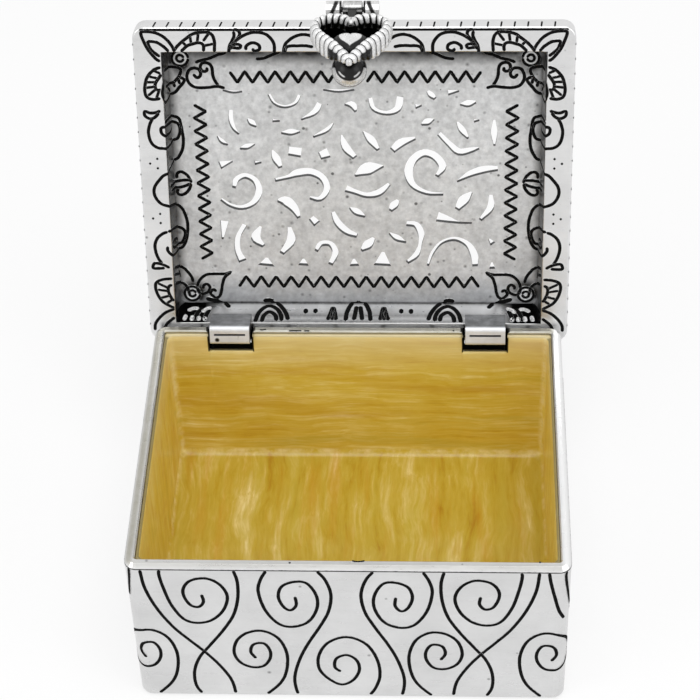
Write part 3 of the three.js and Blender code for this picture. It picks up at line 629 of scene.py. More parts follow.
def corner_path(points, samples=SAMPLES):
    """Straight stretches between points, for zigzags."""
    p = np.asarray(points, float)
    t = np.linspace(0, 1, samples, endpoint=False)[None, :, None]
    stretches = p[:-1, None] * (1 - t) + p[1:, None] * t
    return np.vstack([stretches.reshape(-1, p.shape[1]), p[-1]])


def length_along(points):
    """How far each point of a path lies along it."""
    steps = np.linalg.norm(np.diff(points, axis=0), axis=1)
    return np.concatenate([[0], np.cumsum(steps)])


def evenly(points, gap):
    """The same path with points an even gap apart along its length."""
    reach = length_along(points)
    at = np.linspace(0, reach[-1], max(4, int(reach[-1] / gap) + 1))
    return np.stack([np.interp(at, reach, column) for column in points.T], axis=1), at


def strip(surface, path, width=LINE, gap=GAP):
    """A line on a surface: the profile (across, lift) stands on the path, across = surface normal x
    path direction, lift = surface normal. The width closes to a round end over half a width."""
    fine = evenly(path, gap / 2)[0]
    spots, normals = surface(fine)
    joined, reach = evenly(np.hstack([spots, normals]), gap)
    spots, normals = joined[:, :3], joined[:, 3:]
    normals = normals / np.linalg.norm(normals, axis=1, keepdims=True)
    ahead = np.gradient(spots, axis=0)
    sideways = np.cross(normals, ahead)
    sideways /= np.linalg.norm(sideways, axis=1, keepdims=True) + 1e-12
    ends = np.clip(np.minimum(reach, reach[-1] - reach) / (width / 2), 0, 1)
    half = width / 2 * np.sqrt(np.clip(1 - (1 - ends) ** 2, 0.02, 1))
    grid = (spots[:, None] + sideways[:, None] * (half[:, None] * ACROSS)[..., None]
            + normals[:, None] * LIFT[None, :, None])
    uv = np.stack(np.broadcast_arrays(reach[:, None] * MM, 0.5 + 0.5 * ACROSS[None]), axis=-1)
    return grid, uv


print("a line is", LINE, "mm wide and its lips stand", LIP, "mm high")

# %% [markdown]
# Every made piece is one or more grids of points. A grid is worked out as a whole, as an array, and
# its points are then joined by four-cornered faces. Each piece says what it rides on and what it is
# made of.

# %% From grids to pieces
def grid_faces(rows, columns, start=0, wrap=False):
    """The four-cornered faces of a grid of rows x columns points, wrapped round if it is a tube."""
    row = np.arange(rows - 1)[:, None] * columns
    column = np.arange(columns if wrap else columns - 1)[None]
    after = (column + 1) % columns
    return np.stack([row + column, row + after, row + columns + after, row + columns + column],
                    axis=-1).reshape(-1, 4) + start


def mapped(grid):
    """A grid of points with a plain map: 0 to 1 along its rows and across its columns."""
    shares = [np.linspace(0, 1, count) for count in grid.shape[:2]]
    return grid, np.stack(np.meshgrid(*shares, indexing="ij"), axis=-1)


def piece(name, grids, material, body, wrap=False):
    """One object from grids of points in millimetres, each with a map of where it lies along and
    across. Points that meet at a pole or a seam are joined."""
    points, faces, maps, start = [], [], [], 0
    for grid, uv in grids:
        rows, columns = grid.shape[:2]
        faces.append(grid_faces(rows, columns, start, wrap))
        points.append(grid.reshape(-1, 3))
        maps.append(uv.reshape(-1, 2))
        start += rows * columns
    points, faces, maps = np.vstack(points) * MM, np.vstack(faces), np.vstack(maps)
    data = bpy.data.meshes.new(name)
    data.from_pydata(points.tolist(), [], faces.tolist())
    layer = data.uv_layers.new(name="lines")
    layer.data.foreach_set("uv", maps[faces.ravel()].ravel().astype(np.float32))
    data.polygons.foreach_set("use_smooth", np.ones(len(faces), bool))
    joined = bmesh.new()
    joined.from_mesh(data)
    bmesh.ops.remove_doubles(joined, verts=joined.verts, dist=1e-7)
    joined.to_mesh(data)
    joined.free()
    data.materials.append(material)
    made = bpy.data.objects.new(name, data)
    scene.collection.objects.link(made)
    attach(made, body)
    print(name, len(faces), "faces")
    return made


print("a tube of 3 rings of 4 points has", len(grid_faces(3, 4, wrap=True)), "faces")

# %% [markdown]
# The lining is honey-coloured enamel with mother-of-pearl streaks, laid on with a wide brush:
# along the back wall, up and down the side walls, and from front to back on the floor. Noise that
# is stretched along the brush's path gives the streaks, and a finer noise the hairs. Long amber and
# olive tints run through it, and the coat is paler higher up the walls and towards the back. A
# painted highlight runs along the ridges at the foot of the walls and in the back corners, and
# painted shade darkens the coat in the hinge notches, under the lugs.

# %% Enamel finish
WALL_HONEY = [(0.0, srgb(196, 146, 26)), (0.3, srgb(218, 186, 61)), (0.55, srgb(225, 198, 86)),
              (0.78, srgb(236, 215, 128)), (1.0, srgb(250, 236, 180))]
FLOOR_HONEY = [(0.0, srgb(168, 118, 12)), (0.3, srgb(186, 157, 42)), (0.55, srgb(195, 169, 62)),
               (0.78, srgb(210, 188, 104)), (1.0, srgb(238, 222, 164))]
AMBER, OLIVE, PEARL = srgb(196, 142, 30), srgb(192, 174, 64), srgb(240, 224, 178)
RIDGE_HIGHLIGHT, NOTCH_SHADE = srgb(248, 232, 180), srgb(20, 15, 6)
FRONT_LIP, BACK_LIP = srgb(116, 104, 66), srgb(196, 182, 140)
COAT_X, COAT_Y, COAT_FOOT, COAT_TOP, COAT = 42.8, 33.2, 3.1, 41.3, 0.6
FLOOR_TOP, FILLET = 3.7, 1.7
BACK_BRUSH = (0.045, 1.0, 1.0), 0.004, 420.0, 1500.0, 0.45
SIDE_BRUSH = (1.0, 1.0, 0.1), 0.003, 420.0, 1500.0, 0.4
FLOOR_BRUSH = (1.0, 0.085, 1.0), 0.005, 300.0, 1000.0, 0.36
SWAY_SCALE = 60.0


def brushed(vector, long_scale, sway_width, broad_scale, hair_scale, hair_share):
    """0 to 1 along streaks: two noises stretched by long_scale, bent sideways by a wider one."""
    sway = node("TexNoise", {"Vector": vector, "Scale": SWAY_SCALE, "Detail": 2.0}).outputs["Color"]
    centred = node("VectorMath", {0: sway, 1: (0.5, 0.5, 0.5)}, operation="SUBTRACT")
    bent = node("VectorMath", {0: centred.outputs[0], 3: sway_width}, operation="SCALE")
    moved = node("VectorMath", {0: vector, 1: bent.outputs[0]}, operation="ADD").outputs[0]
    broad = use(cloud, stretch(moved, long_scale), Scale=broad_scale)
    hairs = use(polish, stretch(moved, long_scale), Scale=hair_scale)
    return plus(both(broad, 1 - hair_share), both(hairs, hair_share)), hairs


honey_enamel, shader, place = finish("honey_enamel")
spot = place["Object"]
x, y, z = millimetres(spot)
aside = size_of(x)
on_floor = span(z, FLOOR_TOP + 0.2, FLOOR_TOP + FILLET, 1.0, 0.0)
on_side = span(aside, 40.6, 41.9)
back, side, floor = (brushed(spot, *brush) for brush in (BACK_BRUSH, SIDE_BRUSH, FLOOR_BRUSH))
streak, hairs = (choose(on_floor, choose(on_side, back[k], side[k]), floor[k])
                 for k in (0, 1))
patches = use(cloud, stretch(spot, (1.0, 0.6, 1.0)), Scale=80.0)
streak = plus(streak, span(patches, 0.0, 1.0, -0.15, 0.15))
colour = blend(on_floor, ramp(streak, WALL_HONEY), ramp(streak, FLOOR_HONEY))

long_floor = stretch(spot, (1.0, 0.1, 1.0), (0.02, 0.0, 0.0))
long_wall = stretch(spot, (0.12, 1.0, 1.0), (0.0, 0.03, 0.0))
tint = choose(on_floor, use(cloud, long_wall, Scale=170.0),
              use(cloud, long_floor, Scale=240.0))
colour = blend(span(tint, 0.55, 0.95, 0.0, 0.42), colour, AMBER)
colour = blend(span(tint, 0.4, 0.05, 0.0, 0.4), colour, OLIVE)
pale = both(span(z, 30.0, 41.0, 0.0, 0.6), span(y, 0.0, 30.0, 0.4, 1.0))
colour = blend(pale, colour, PEARL)

lumps = use(cloud, spot, Scale=420.0)
# Painted highlight along the ridge at the foot of the walls and up the back corners.
foot_ridge = near(z, FLOOR_TOP + 0.6 * FILLET, 0.15, 0.6)
corner_ridge = both(near(aside, COAT_X - COAT - 0.6, 0.2, 0.7),
                    span(y, 30.3, 31.2))
ridge_highlight = both(either(foot_ridge, corner_ridge), span(lumps, 0.25, 0.8), 0.55)
colour = blend(ridge_highlight, colour, RIDGE_HIGHLIGHT)
# Painted shade: the coat is dark in the hinge notches, under the lugs.
notch = both(near(aside, NOTCH_X, NOTCH_HALF + 0.2, 0.1), span(y, 30.0, 30.5),
             span(z, NOTCH_FLOOR - 0.25, NOTCH_FLOOR - 0.1))
colour = blend(notch, colour, NOTCH_SHADE)
lip = span(z, COAT_TOP - 0.5, COAT_TOP - 0.3, 0.0, 0.85)
lip_tone = blend(span(y, 32.0, 32.4), FRONT_LIP, BACK_LIP)
link(blend(lip, colour, lip_tone), shader["Base Color"])
link(span(hairs, 0.0, 1.0, 0.28, 0.44), shader["Roughness"])
relief = node("Bump", {"Height": hairs, "Strength": 0.16, "Distance": DENT})
link(relief.outputs[0], shader["Normal"])
shader["Coat Weight"].default_value = 0.2
shader["Coat Roughness"].default_value = 0.15
print("enamel finish has", len(honey_enamel.node_tree.nodes), "nodes")

# %% [markdown]
# Fired enamel pools in the corners, so the lining is one soft shell and not five flat sheets. It
# is made of rounded loops: up the outside of the coat, over its top edge, down the inside, round
# the fillet and in across the floor to the middle. Low waves in wall and floor give the uneven
# gloss of hand-laid enamel.

# %% Enamel lining
EAVE = 0.01
INNER_CORNER, OUTER_CORNER = 1.4, 0.6
WALL_WAVE, FLOOR_WAVE = 0.0012, 0.05
FRONT_STATIONS, SIDE_STATIONS, WALL_ROWS, FLOOR_ROWS = 81, 61, 25, 41
straight_x = COAT_X - COAT - FILLET - INNER_CORNER
straight_y = COAT_Y - COAT - FILLET - INNER_CORNER
notch_edges = np.array([sign * NOTCH_X + side * (NOTCH_HALF + nudge)
                        for sign in (-1, 1) for side in (-1, 1) for nudge in (-EAVE, EAVE)])
front_x = np.linspace(-straight_x, straight_x, FRONT_STATIONS)
back_x = np.sort(np.concatenate([front_x, notch_edges]))[::-1]
side_y = np.linspace(-straight_y, straight_y, SIDE_STATIONS)
arc = np.linspace(0, np.pi / 2, 9)


def coat_loop(half_x, half_y, radius):
    """A rounded rectangle, anticlockwise from the front left corner, with the same stations along
    its straight sides whatever its size."""
    runs = ((front_x, -half_y, 1, -1), (half_x, side_y, 1, 1),
            (back_x, half_y, -1, 1), (-half_x, side_y[::-1], -1, -1))
    loop = []
    for quarter, (x, y, sx, sy) in enumerate(runs):
        angle = arc[1:-1] + (quarter - 1) * np.pi / 2
        bend = (sx * (half_x - radius) + radius * np.cos(angle),
                sy * (half_y - radius) + radius * np.sin(angle))
        loop += [np.column_stack(np.broadcast_arrays(x, y)), np.column_stack(bend)]
    return np.vstack(loop)


stations = coat_loop(COAT_X, COAT_Y, INNER_CORNER)
from_notch = np.abs(np.abs(stations[:, 0]) - NOTCH_X)
in_notch = (stations[:, 1] > COAT_Y - 0.01) & (from_notch < NOTCH_HALF)
top = np.where(in_notch, NOTCH_FLOOR - 0.1, COAT_TOP)


def coat_row(inset, height):
    """One loop of the coat, drawn in by an inset, at a height that may differ round the loop."""
    radius = np.interp(inset, [0, COAT], [OUTER_CORNER, INNER_CORNER])
    flat = coat_loop(COAT_X - inset, COAT_Y - inset, radius)
    return np.column_stack([flat, np.broadcast_to(height, len(flat))])


def waves(a, b):
    """Low waves across a surface: three sines of different length and slant."""
    return (np.sin(0.31 * a + 0.22 * b) + 0.7 * np.sin(0.53 * a - 0.37 * b + 1.3)
            + 0.5 * np.sin(0.9 * b + 0.2 * a + 4.0))


rows = [coat_row(inset, height) for inset, height in (
    (0.0, COAT_FOOT), (0.0, top), (0.18, top - 0.03), (0.45, top - 0.2))]
for share in np.linspace(0, 1, WALL_ROWS):
    row = coat_row(COAT, (1 - share) * (top - 0.5) + share * (FLOOR_TOP + FILLET))
    round_about = np.arctan2(row[:, 1], row[:, 0]) * 40
    swell = WALL_WAVE * math.sin(math.pi * share) * (1 + waves(round_about, row[:, 2])) / 2
    row[:, :2] *= 1 - swell[:, None]
    rows.append(row)
for angle in arc[1:]:
    rows.append(coat_row(COAT + FILLET * (1 - math.cos(angle)),
                         FLOOR_TOP + FILLET * (1 - math.sin(angle))))
edge_of_floor = rows[-1]
for share in np.linspace(1, 0, FLOOR_ROWS)[1:]:
    row = edge_of_floor * (share, share, 1)
    calm = min(1.0, 6 * (1 - share)) * min(1.0, 12 * share)
    row[:, 2] += FLOOR_WAVE * waves(row[:, 0], row[:, 1]) * calm
    rows.append(row)
grids = [mapped(np.array(rows)), mapped(np.array([rows[0] * (0, 0, 1), rows[0]]))]
coat = piece("enamel_lining", grids, honey_enamel, "box", wrap=True)
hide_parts("enamel_walls", "enamel_floor")

# %% [markdown]
# The pull is a heart of twisted rope round a black plate, with a small puffed heart on it. It hangs
# from a knuckle on the lid's front edge and leans a little, so its points are drawn hanging
# straight down, leaned about the pin, and then turned back with the lid.

# %% The pull's place and the heart's outline
PULL_Y, PULL_Z = -40.95, 41.5
LEAN = np.radians(10.0)
HEART, HEART_DROP, HEART_FORWARD = 14.4, 8.61, 0.3
LOBE_STRETCH, TIP_STRETCH = 0.85, 1.35


def hung(points):
    """Points drawn about the pin, leaned about it, carried to the lid's edge and turned with it."""
    x, y, z = points[..., 0], points[..., 1], points[..., 2]
    leaned_y = PULL_Y + y * np.cos(LEAN) - z * np.sin(LEAN)
    leaned_z = PULL_Z + y * np.sin(LEAN) + z * np.cos(LEAN)
    return opened(np.stack([x, leaned_y, leaned_z], axis=-1))


def heart(t, width):
    """Half a heart from its cleft at t = 0 to its tip at t = 1: x is half the cube of a sine, and
    the height is a sum of four cosines, flatter above the waist and longer below it."""
    angle = np.pi * np.asarray(t)
    cosines = (13 * np.cos(angle) - 5 * np.cos(2 * angle) - 2 * np.cos(3 * angle)
               - np.cos(4 * angle))
    rise = cosines / 32 - 0.125
    tall = np.where(rise > 0, LOBE_STRETCH, TIP_STRETCH)
    return 0.5 * np.sin(angle) ** 3 * width, tall * rise * width


print("heart's tip hangs", round(float(HEART_DROP - heart(1.0, HEART)[1]), 1), "mm below the pin")

# %% [markdown]
# Bright metal of the pull and the catch: strands shine and the grooves between them are black. Each
# piece carries its own painted light and shade in its map, 0 for black and 1 for bright, so one
# finish serves them all. The plate behind the heart is black all over.

# %% Pull finish
def shaded(grid, tone):
    """A grid of points with its shade as its map."""
    tone = np.broadcast_to(tone, grid.shape[:2])
    return grid, np.stack([tone, tone], axis=-1)


def fade(value, low, width):
    """0 up to low, rising to 1 over a width, and 1 beyond it."""
    return np.clip((value - low) / width, 0, 1)


pull_silver, shader, place = finish("pull_silver")
smoke = use(cloud, place["Object"], Scale=900.0)
# The map holds painted light and shade, as each piece is seen from the front.
painted_light_and_patina = plus(parts(place["UV"])[1], span(smoke, 0.0, 1.0, -0.06, 0.06))
metal(shader, place, grey(208), grey(238), 0.26, span(painted_light_and_patina, 0.12, 0.62, 1.0, 0.0),
      grey(4), cloud_scale=500.0, shine=0.4)

# Black for the heart's plate, dark with patina and shade, and for the painted shadow in the hinge
# notches.
black_patina_and_shade, shader, place = finish("black_plate_and_shadow")
metal(shader, place, grey(0), grey(4), 0.9, pit_share=0.0, shine=0.0)
shader["Specular IOR Level"].default_value = 0.0
dress("heart_plate", black_patina_and_shade)
print("pull finishes:", pull_silver.name, black_patina_and_shade.name)

# %% [markdown]
# The rope could be cast from a real cord. Here an oval section is carried down each half of the
# heart, and a groove that winds round it parts the strands. The rope is fullest low on its sides
# and slim at its tip, where its lower side is painted black as a dark reflection. On the side of
# the hollow it is thinner, and painted black there as shade.

# %% Rope strands
ROPE_OUT, ROPE_DEEP, ROPE_BELLY = 1.3, 1.9, 0.6
STRANDS, GROOVE = 17, 0.4
STRAIGHT, TIP_UP, PAST_TIP = 0.62, 0.8, 1.068
LOW_BELLY, LOW_AT, LOW_SPREAD = 0.8, 0.7, 0.12
SLIM_FROM, SLIM_BY = 0.8, 0.5
THIN_INSIDE, SQUARE_BEHIND = 0.62, 0.55
TIP_DARK_REFLECTION = 0.92


def rope_path():
    """Half of the rope's middle line, from the cleft down the lobe and then straight to the tip:
    its t, x and z at an even spacing, and the length along it."""
    t = np.linspace(0, PAST_TIP, 2201)
    x, z = heart(np.minimum(t, STRAIGHT), HEART)
    lower = np.clip((t - STRAIGHT) / (1 - STRAIGHT), 0, None)
    tip = heart(1.0, HEART)[1] + TIP_UP
    x, z = x * (1 - lower), z + (tip - z) * lower
    reach = length_along(np.column_stack([x, z]))
    even = np.linspace(0, reach[-1], STRANDS * 14 + 1)
    return *(np.interp(even, reach, values) for values in (t, x, z)), even


def rope(side):
    """Half of the rope. Outward = (radius - groove) cos, thinner on the hollow's side, depth =
    (depth + belly - groove) sin, squarer behind. The groove winds once round the section for every
    strand, and the halves meet at x = 0."""
    t, x, z, even = rope_path()
    ahead_x, ahead_z = np.gradient(x), np.gradient(z)
    length = np.hypot(ahead_x, ahead_z) + 1e-12
    out_x, out_z = -ahead_z / length, ahead_x / length
    angle = np.linspace(0, 2 * np.pi, 48, endpoint=False)
    cosine, sine = np.cos(angle), np.sin(angle)
    phase = 2 * np.pi * STRANDS * (even / even[-1])[:, None] + angle[None]
    strand = np.abs(np.sin(phase / 2)) ** 0.75
    cut = GROOVE * (1 - strand)
    close = np.sqrt(fade(even, 0, 0.5))[:, None]
    square = np.where(sine > 0, SQUARE_BEHIND, 1.0)
    hollow_side = np.where(cosine > 0, 1.0, THIN_INSIDE)
    slim = 1 - SLIM_BY * fade(t, SLIM_FROM, 1 - SLIM_FROM)
    belly = (ROPE_BELLY * np.sin(np.pi * np.minimum(t, 1))
             + LOW_BELLY * np.exp(-((t - LOW_AT) / LOW_SPREAD) ** 2))
    outward = (ROPE_OUT - cut) * hollow_side * np.sign(cosine) * np.abs(cosine) ** square * close
    thick = (ROPE_DEEP * slim)[:, None] + belly[:, None] * (sine > 0) - cut
    deep = thick * np.sign(sine) * np.abs(sine) ** square * close
    points = np.stack([side * np.maximum(x[:, None] + outward * out_x[:, None], 0),
                       deep - HEART_FORWARD,
                       z[:, None] + outward * out_z[:, None] - HEART_DROP], axis=-1)
    points[-1] = points[-1].mean(axis=0)

    # Painted shade on the hollow's side, and a painted dark reflection on the lower side by the
    # tip.
    inward = np.clip(-cosine, 0, 1)
    in_hollow = fade(inward, 0.3, 0.3) * fade(sine, -0.3, 0.35)
    tone = fade(strand, 0.2 + 0.35 * inward, 0.4) * (1 - in_hollow)
    by_tip = fade(-x, -4.0, 0.8) * fade(x, 0.6, 0.8) * (t > STRAIGHT)
    lower_side = fade(sine, -0.45, 0.3) * (cosine > 0)
    tone = tone * (1 - TIP_DARK_REFLECTION * by_tip[:, None] * lower_side)
    uv = np.stack([np.broadcast_to(even[:, None] / even[-1], strand.shape), tone], axis=-1)
    return (points, uv) if side < 0 else (points[:, ::-1], uv[:, ::-1])


print("rope:", STRANDS, "strands on each half, over", round(rope_path()[3][-1], 1), "mm")

# %% [markdown]
# The knuckle that turns on the pin, the neck below it and the heel that stops the swing are drawn
# out from rounded sections. A split bud fills the cleft of the heart. The knuckle is painted in
# bands of light and shade, as its barrel looks from the front, and the neck is painted black as
# shade.

# %% Rope heart
KNUCKLE, KNUCKLE_BORE, KNUCKLE_HALF, KNUCKLE_ROUND = 1.8, 0.65, 2.05, 0.3
PAINTED_LIGHT_BANDS = [(-90, 0), (-30, 0), (-22, 0.34), (-14, 0.32), (-9, 0.14), (0, 0.14), (8, 0.34),
         (16, 0.52), (50, 0.44), (72, 0.28), (90, 0.1)]
BUD_HALF, BUD_DEEP, BUD_TALL, BUD_UP, BUD_OUT, BUD_SPLIT = 0.62, 0.7, 1.15, 0.5, 1.4, 0.14
NECK_TOP, NECK_HALF, NECK_DEEP, NECK_ROUND = -1.0, 0.9, 0.75, 0.3
HEEL_FROM, HEEL_TO, HEEL_DROP, HEEL_HALF, HEEL_THICK, HEEL_ROUND = 0.6, 3.05, 1.25, 1.2, 0.55, 0.15
RIGHTWARD = (1, 0, 0)


def ring(radius, bore, half, rounding, shade):
    """A knuckle along X: a rounded rectangle from bore to radius, turned about the pin."""
    corner = np.linspace(0, np.pi / 2, 5)
    across = np.append(half - rounding + rounding * np.sin(corner), half - rounding * 0.5)
    out = np.append(radius - rounding + rounding * np.cos(corner), bore)
    profile = np.vstack([np.column_stack([-across, out])[::-1], np.column_stack([across, out]),
                         [(-across[-1], bore)]])
    angle = np.linspace(0, 2 * np.pi, 48, endpoint=False)
    grid = np.stack(np.broadcast_arrays(profile[:, :1], profile[:, 1:] * np.sin(angle),
                                        profile[:, 1:] * np.cos(angle)), axis=-1)
    return shaded(grid, shade(angle))


def bar(start, end, half_a, half_b, axis_a, axis_b, rounding, tone):
    """A bar from start to end with a rounded rectangular section and closed ends."""
    corner = np.linspace(0, np.pi / 2, 5)
    a = half_a - rounding + rounding * np.cos(corner)
    b = half_b - rounding + rounding * np.sin(corner)
    outline = np.vstack([np.column_stack([a, b]), np.column_stack([-a, b])[::-1],
                         np.column_stack([-a, -b]), np.column_stack([a, -b])[::-1]])
    path = np.linspace(start, end, 9)[:, None]
    grid = path + outline[None, :, :1] * np.array(axis_a) + outline[None, :, 1:] * np.array(axis_b)
    caps = [np.broadcast_to(path[k], grid.shape[1:])[None] for k in (0, -1)]
    return shaded(np.concatenate([caps[0], grid, caps[1]]), tone)


def seen_from_front(angle):
    """The barrel's painted bands of light and shade: how far up a point faces, as the eye sees it,
    gives its painted shade.
    """
    spokes = np.stack([0 * angle, np.sin(angle), np.cos(angle)], -1)
    facing = hung(spokes) - hung(0 * spokes)
    upwards = np.degrees(np.arctan2(facing @ -below, -(facing @ forward)))
    return np.interp(upwards, *zip(*PAINTED_LIGHT_BANDS))


knuckle = ring(KNUCKLE, KNUCKLE_BORE, KNUCKLE_HALF, KNUCKLE_ROUND, seen_from_front)
cleft = float(heart(0.0, HEART)[1]) - HEART_DROP
# The neck is painted black as shade; the heel is nearly black.
neck = bar((0, -HEART_FORWARD, NECK_TOP), (0, -HEART_FORWARD, cleft), NECK_HALF, NECK_DEEP,
           RIGHTWARD, (0, 1, 0), NECK_ROUND, 0.0)
tilt = np.array([0, np.cos(LEAN), -np.sin(LEAN)])
upward = np.array([0, np.sin(LEAN), np.cos(LEAN)])
heel = bar(HEEL_FROM * tilt - HEEL_DROP * upward, HEEL_TO * tilt - HEEL_DROP * upward,
           HEEL_HALF, HEEL_THICK, RIGHTWARD, upward, HEEL_ROUND, 0.1)
bud_turn, bud_down = np.meshgrid(np.linspace(0, 2 * np.pi, 24, endpoint=False),
                                 np.linspace(0, np.pi, 17))
bud = np.stack([BUD_HALF * np.sin(bud_down) * np.sin(bud_turn),
                -HEART_FORWARD - BUD_OUT - BUD_DEEP * np.sin(bud_down) * np.cos(bud_turn),
                cleft + BUD_UP + BUD_TALL * np.cos(bud_down)], axis=-1)
split = np.exp(-(bud[..., 0] / BUD_SPLIT) ** 2) * (np.abs(np.cos(bud_down)) < 0.55)
made = (rope(1), rope(-1), knuckle, neck, heel, shaded(bud, 1 - split))
rope_heart = piece("rope_heart", [(hung(grid), uv) for grid, uv in made],
                   pull_silver, "pull", wrap=True)
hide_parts("heart_rim")

# %% [markdown]
# Black bars of painted shadow fill the clearance beside each hinge lug, where the room would
# show through. It is a thin bar on each side of each notch, and stops just short of the lug so that
# the lid can still turn.

# %% Notch shadow bars
SHADOW_BAR_WIDE, SINK = 0.36, 0.02
low, high = NOTCH_FLOOR + SINK, BODY_TOP - 0.6
grids = []
for notch_x in (-NOTCH_X, NOTCH_X):
    for side in (-1, 1):
        bar_x = notch_x + side * (NOTCH_HALF - SHADOW_BAR_WIDE / 2 + SINK)
        ends = [(bar_x, y, (low + high) / 2) for y in (BODY_Y - 2.15, BODY_Y - 0.05)]
        grids.append(bar(*ends, SHADOW_BAR_WIDE / 2, (high - low) / 2, RIGHTWARD, (0, 0, 1), 0.05, 0.0))
piece("notch_shadow_bars", grids, black_patina_and_shade, "box", wrap=True)

# %% [markdown]
# The small heart is puffed: hearts that shrink along a quarter round. Its lower flanks are painted
# black as shade, so that it stands out as a bright cushion with a dark edge.

# %% Small puffed heart
SMALL, SMALL_DOWN, SMALL_RISE, SMALL_SEAT = 7.2, 3.9, 1.7, 0.3
NOTCHED, NOTCH_SPREAD = 0.16, 0.13
FLANK_SHADE = 0.97
trip = np.linspace(0, 2, 120, endpoint=False)
swell = np.linspace(0, np.pi / 2, 22)[:, None]
half_x, half_z = heart(np.minimum(trip, 2 - trip), 1.0)
half_x = np.where(trip > 1, -half_x, half_x)
half_z = half_z - NOTCHED * np.exp(-(half_x / NOTCH_SPREAD) ** 2) * (half_z > -0.1)
width = SMALL * np.cos(swell)
puff = np.stack(np.broadcast_arrays(
    width * half_x, SMALL_SEAT - SMALL_RISE * np.sin(swell),
    width * half_z - HEART_DROP - SMALL_DOWN), axis=-1)
foot = np.broadcast_to(puff[:1].mean(axis=1, keepdims=True), puff[:1].shape)
climb = np.vstack([[[0.0]], swell])
# Painted shade: the lower flanks are black.
lower = fade(np.minimum(trip, 2 - trip), 0.3, 0.12)
tone = 1 - FLANK_SHADE * fade(-climb, -0.95, 0.12) * lower
tone = np.where(climb < 0.16, 0.0, tone)
small_heart = piece("puffed_heart", [shaded(hung(np.concatenate([foot, puff])), tone)],
                    pull_silver, "pull", wrap=True)
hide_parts("small_heart")

# %% [markdown]
# The catch is a bead on a post. As seen from the front, a painted highlight crescent and glints
# run round its lower side, and a painted dark reflection lies where the heart hangs over it.

# %% Catch bead
BEAD, BEAD_X, BEAD_Y, BEAD_RISE, POST = 3.7, -0.8, -28.6, -3.0, 1.4
CRESCENT_HIGHLIGHT_FROM, GLINT_AT, GLINT_WIDE, EDGE_FROM, BACK_TONE = 0.78, 0.66, 0.04, 0.96, 0.8
post_top = RECESS - 0.1 - BEAD_RISE
angle = np.linspace(0, np.pi - math.asin(POST / BEAD), 40)
profile = np.vstack([np.column_stack([BEAD * np.sin(angle), -BEAD * np.cos(angle)]),
                     [(POST, 0.6 * RECESS), (POST, post_top), (0, post_top)]])
round_about = np.linspace(0, 2 * np.pi, 64, endpoint=False)
grid = opened(np.stack(np.broadcast_arrays(
    BEAD_X + profile[:, :1] * np.cos(round_about), BEAD_Y + profile[:, :1] * np.sin(round_about),
    LID_BOTTOM + BEAD_RISE + profile[:, 1:]), axis=-1))
middle = opened(np.array([BEAD_X, BEAD_Y, LID_BOTTOM + BEAD_RISE]))
# Painted highlights and reflections, from how each point faces the eye.
facing = (grid - middle) / BEAD
sideways, upwards = facing @ right, facing @ -below
crescent_highlight = fade(np.hypot(sideways, upwards - 0.08), CRESCENT_HIGHLIGHT_FROM, 0.06)
crescent_highlight = crescent_highlight * fade(-upwards, -0.1, 0.15)
glint = np.exp(-((np.hypot(sideways, upwards - 0.1) - GLINT_AT) / GLINT_WIDE) ** 2)
glint = 0.8 * glint * fade(np.abs(sideways), 0.2, 0.1) * fade(-upwards, 0.15, 0.1)
outer_edge = fade(np.hypot(sideways, upwards), EDGE_FROM, 0.02)
tone = np.maximum(crescent_highlight, glint) * (1 - 0.75 * outer_edge)
tone = np.where(facing @ forward > 0.15, BACK_TONE, tone)
bead = piece("catch_ball", [shaded(grid, tone)], pull_silver, "lid", wrap=True)
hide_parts("catch_bead")

# %% [markdown]
# The bracket that holds the pull is a plate with two ears. Painted shade blackens the gaps beside
# the knuckle and the plate low behind the knuckle, and a slanting dark band crosses each ear.

# %% Bracket finish
EAR_GAP, EAR_BAND, CUT_SLANT, EAR_MIDDLE = 2.35, 4.2, -0.5, 41.0
bracket_silver, shader, place = finish("bracket_silver")
along, across, rise = parts(closed_lid(place["Object"]))
aside = size_of(along)
# Painted shade in the gaps beside the knuckle and low behind it; a slanting dark band on each ear.
gap = near(aside, EAR_GAP, 0.3, 0.12)
slant = both(plus(across, EAR_MIDDLE), CUT_SLANT)
cut = near(plus(aside, slant), EAR_BAND, 0.3, 0.3)
behind = both(span(across, -38.4, -37.9), span(rise, 0.9, 1.5, 1.0, 0.0))
metal(shader, place, grey(196), grey(228), 0.26, either(gap, cut, behind), grey(8),
      shine=0.6)
dress("pull_bracket", bracket_silver)
ease_edges("pull_bracket", 0.25)
print("bracket finish has", len(bracket_silver.node_tree.nodes), "nodes")

# %% [markdown]
# The cut's floor is black and its lips are bright. The strip carries a map of where a point lies
# across the line, and the finish goes from silver at the lips to black between them, a little
# unevenly, as a graver leaves it.

# %% Engraved line finish
engraved, shader, place = finish("engraved_line")
from_middle = size_of(minus(parts(place["UV"])[1], 0.5))
jitter = use(cloud, place["Object"], Scale=1400.0)
edge = plus(from_middle, span(jitter, 0.0, 1.0, -0.03, 0.03))
lip = span(edge, 0.43, 0.48)
floor_tone = blend(jitter, grey(0), grey(14))
link(blend(lip, floor_tone, grey(214)), shader["Base Color"])
link(span(lip, 0.0, 1.0, 0.8, 0.3), shader["Roughness"])
link(lip, shader["Metallic"])
shader["Specular IOR Level"].default_value = 0.1


def engrave(name, lines, body):
    """Engraved lines as one piece of the box or the lid."""
    piece(name, lines, engraved, body)


print("engraved line finish has", len(engraved.node_tree.nodes), "nodes")

# %% [markdown]
# The walls are drawn unrolled: distance round the body, counted from the middle of the front, and
# height. The scrolls can then run round the corners as they do on the box. The back is drawn by
# itself, as it is seen from behind.

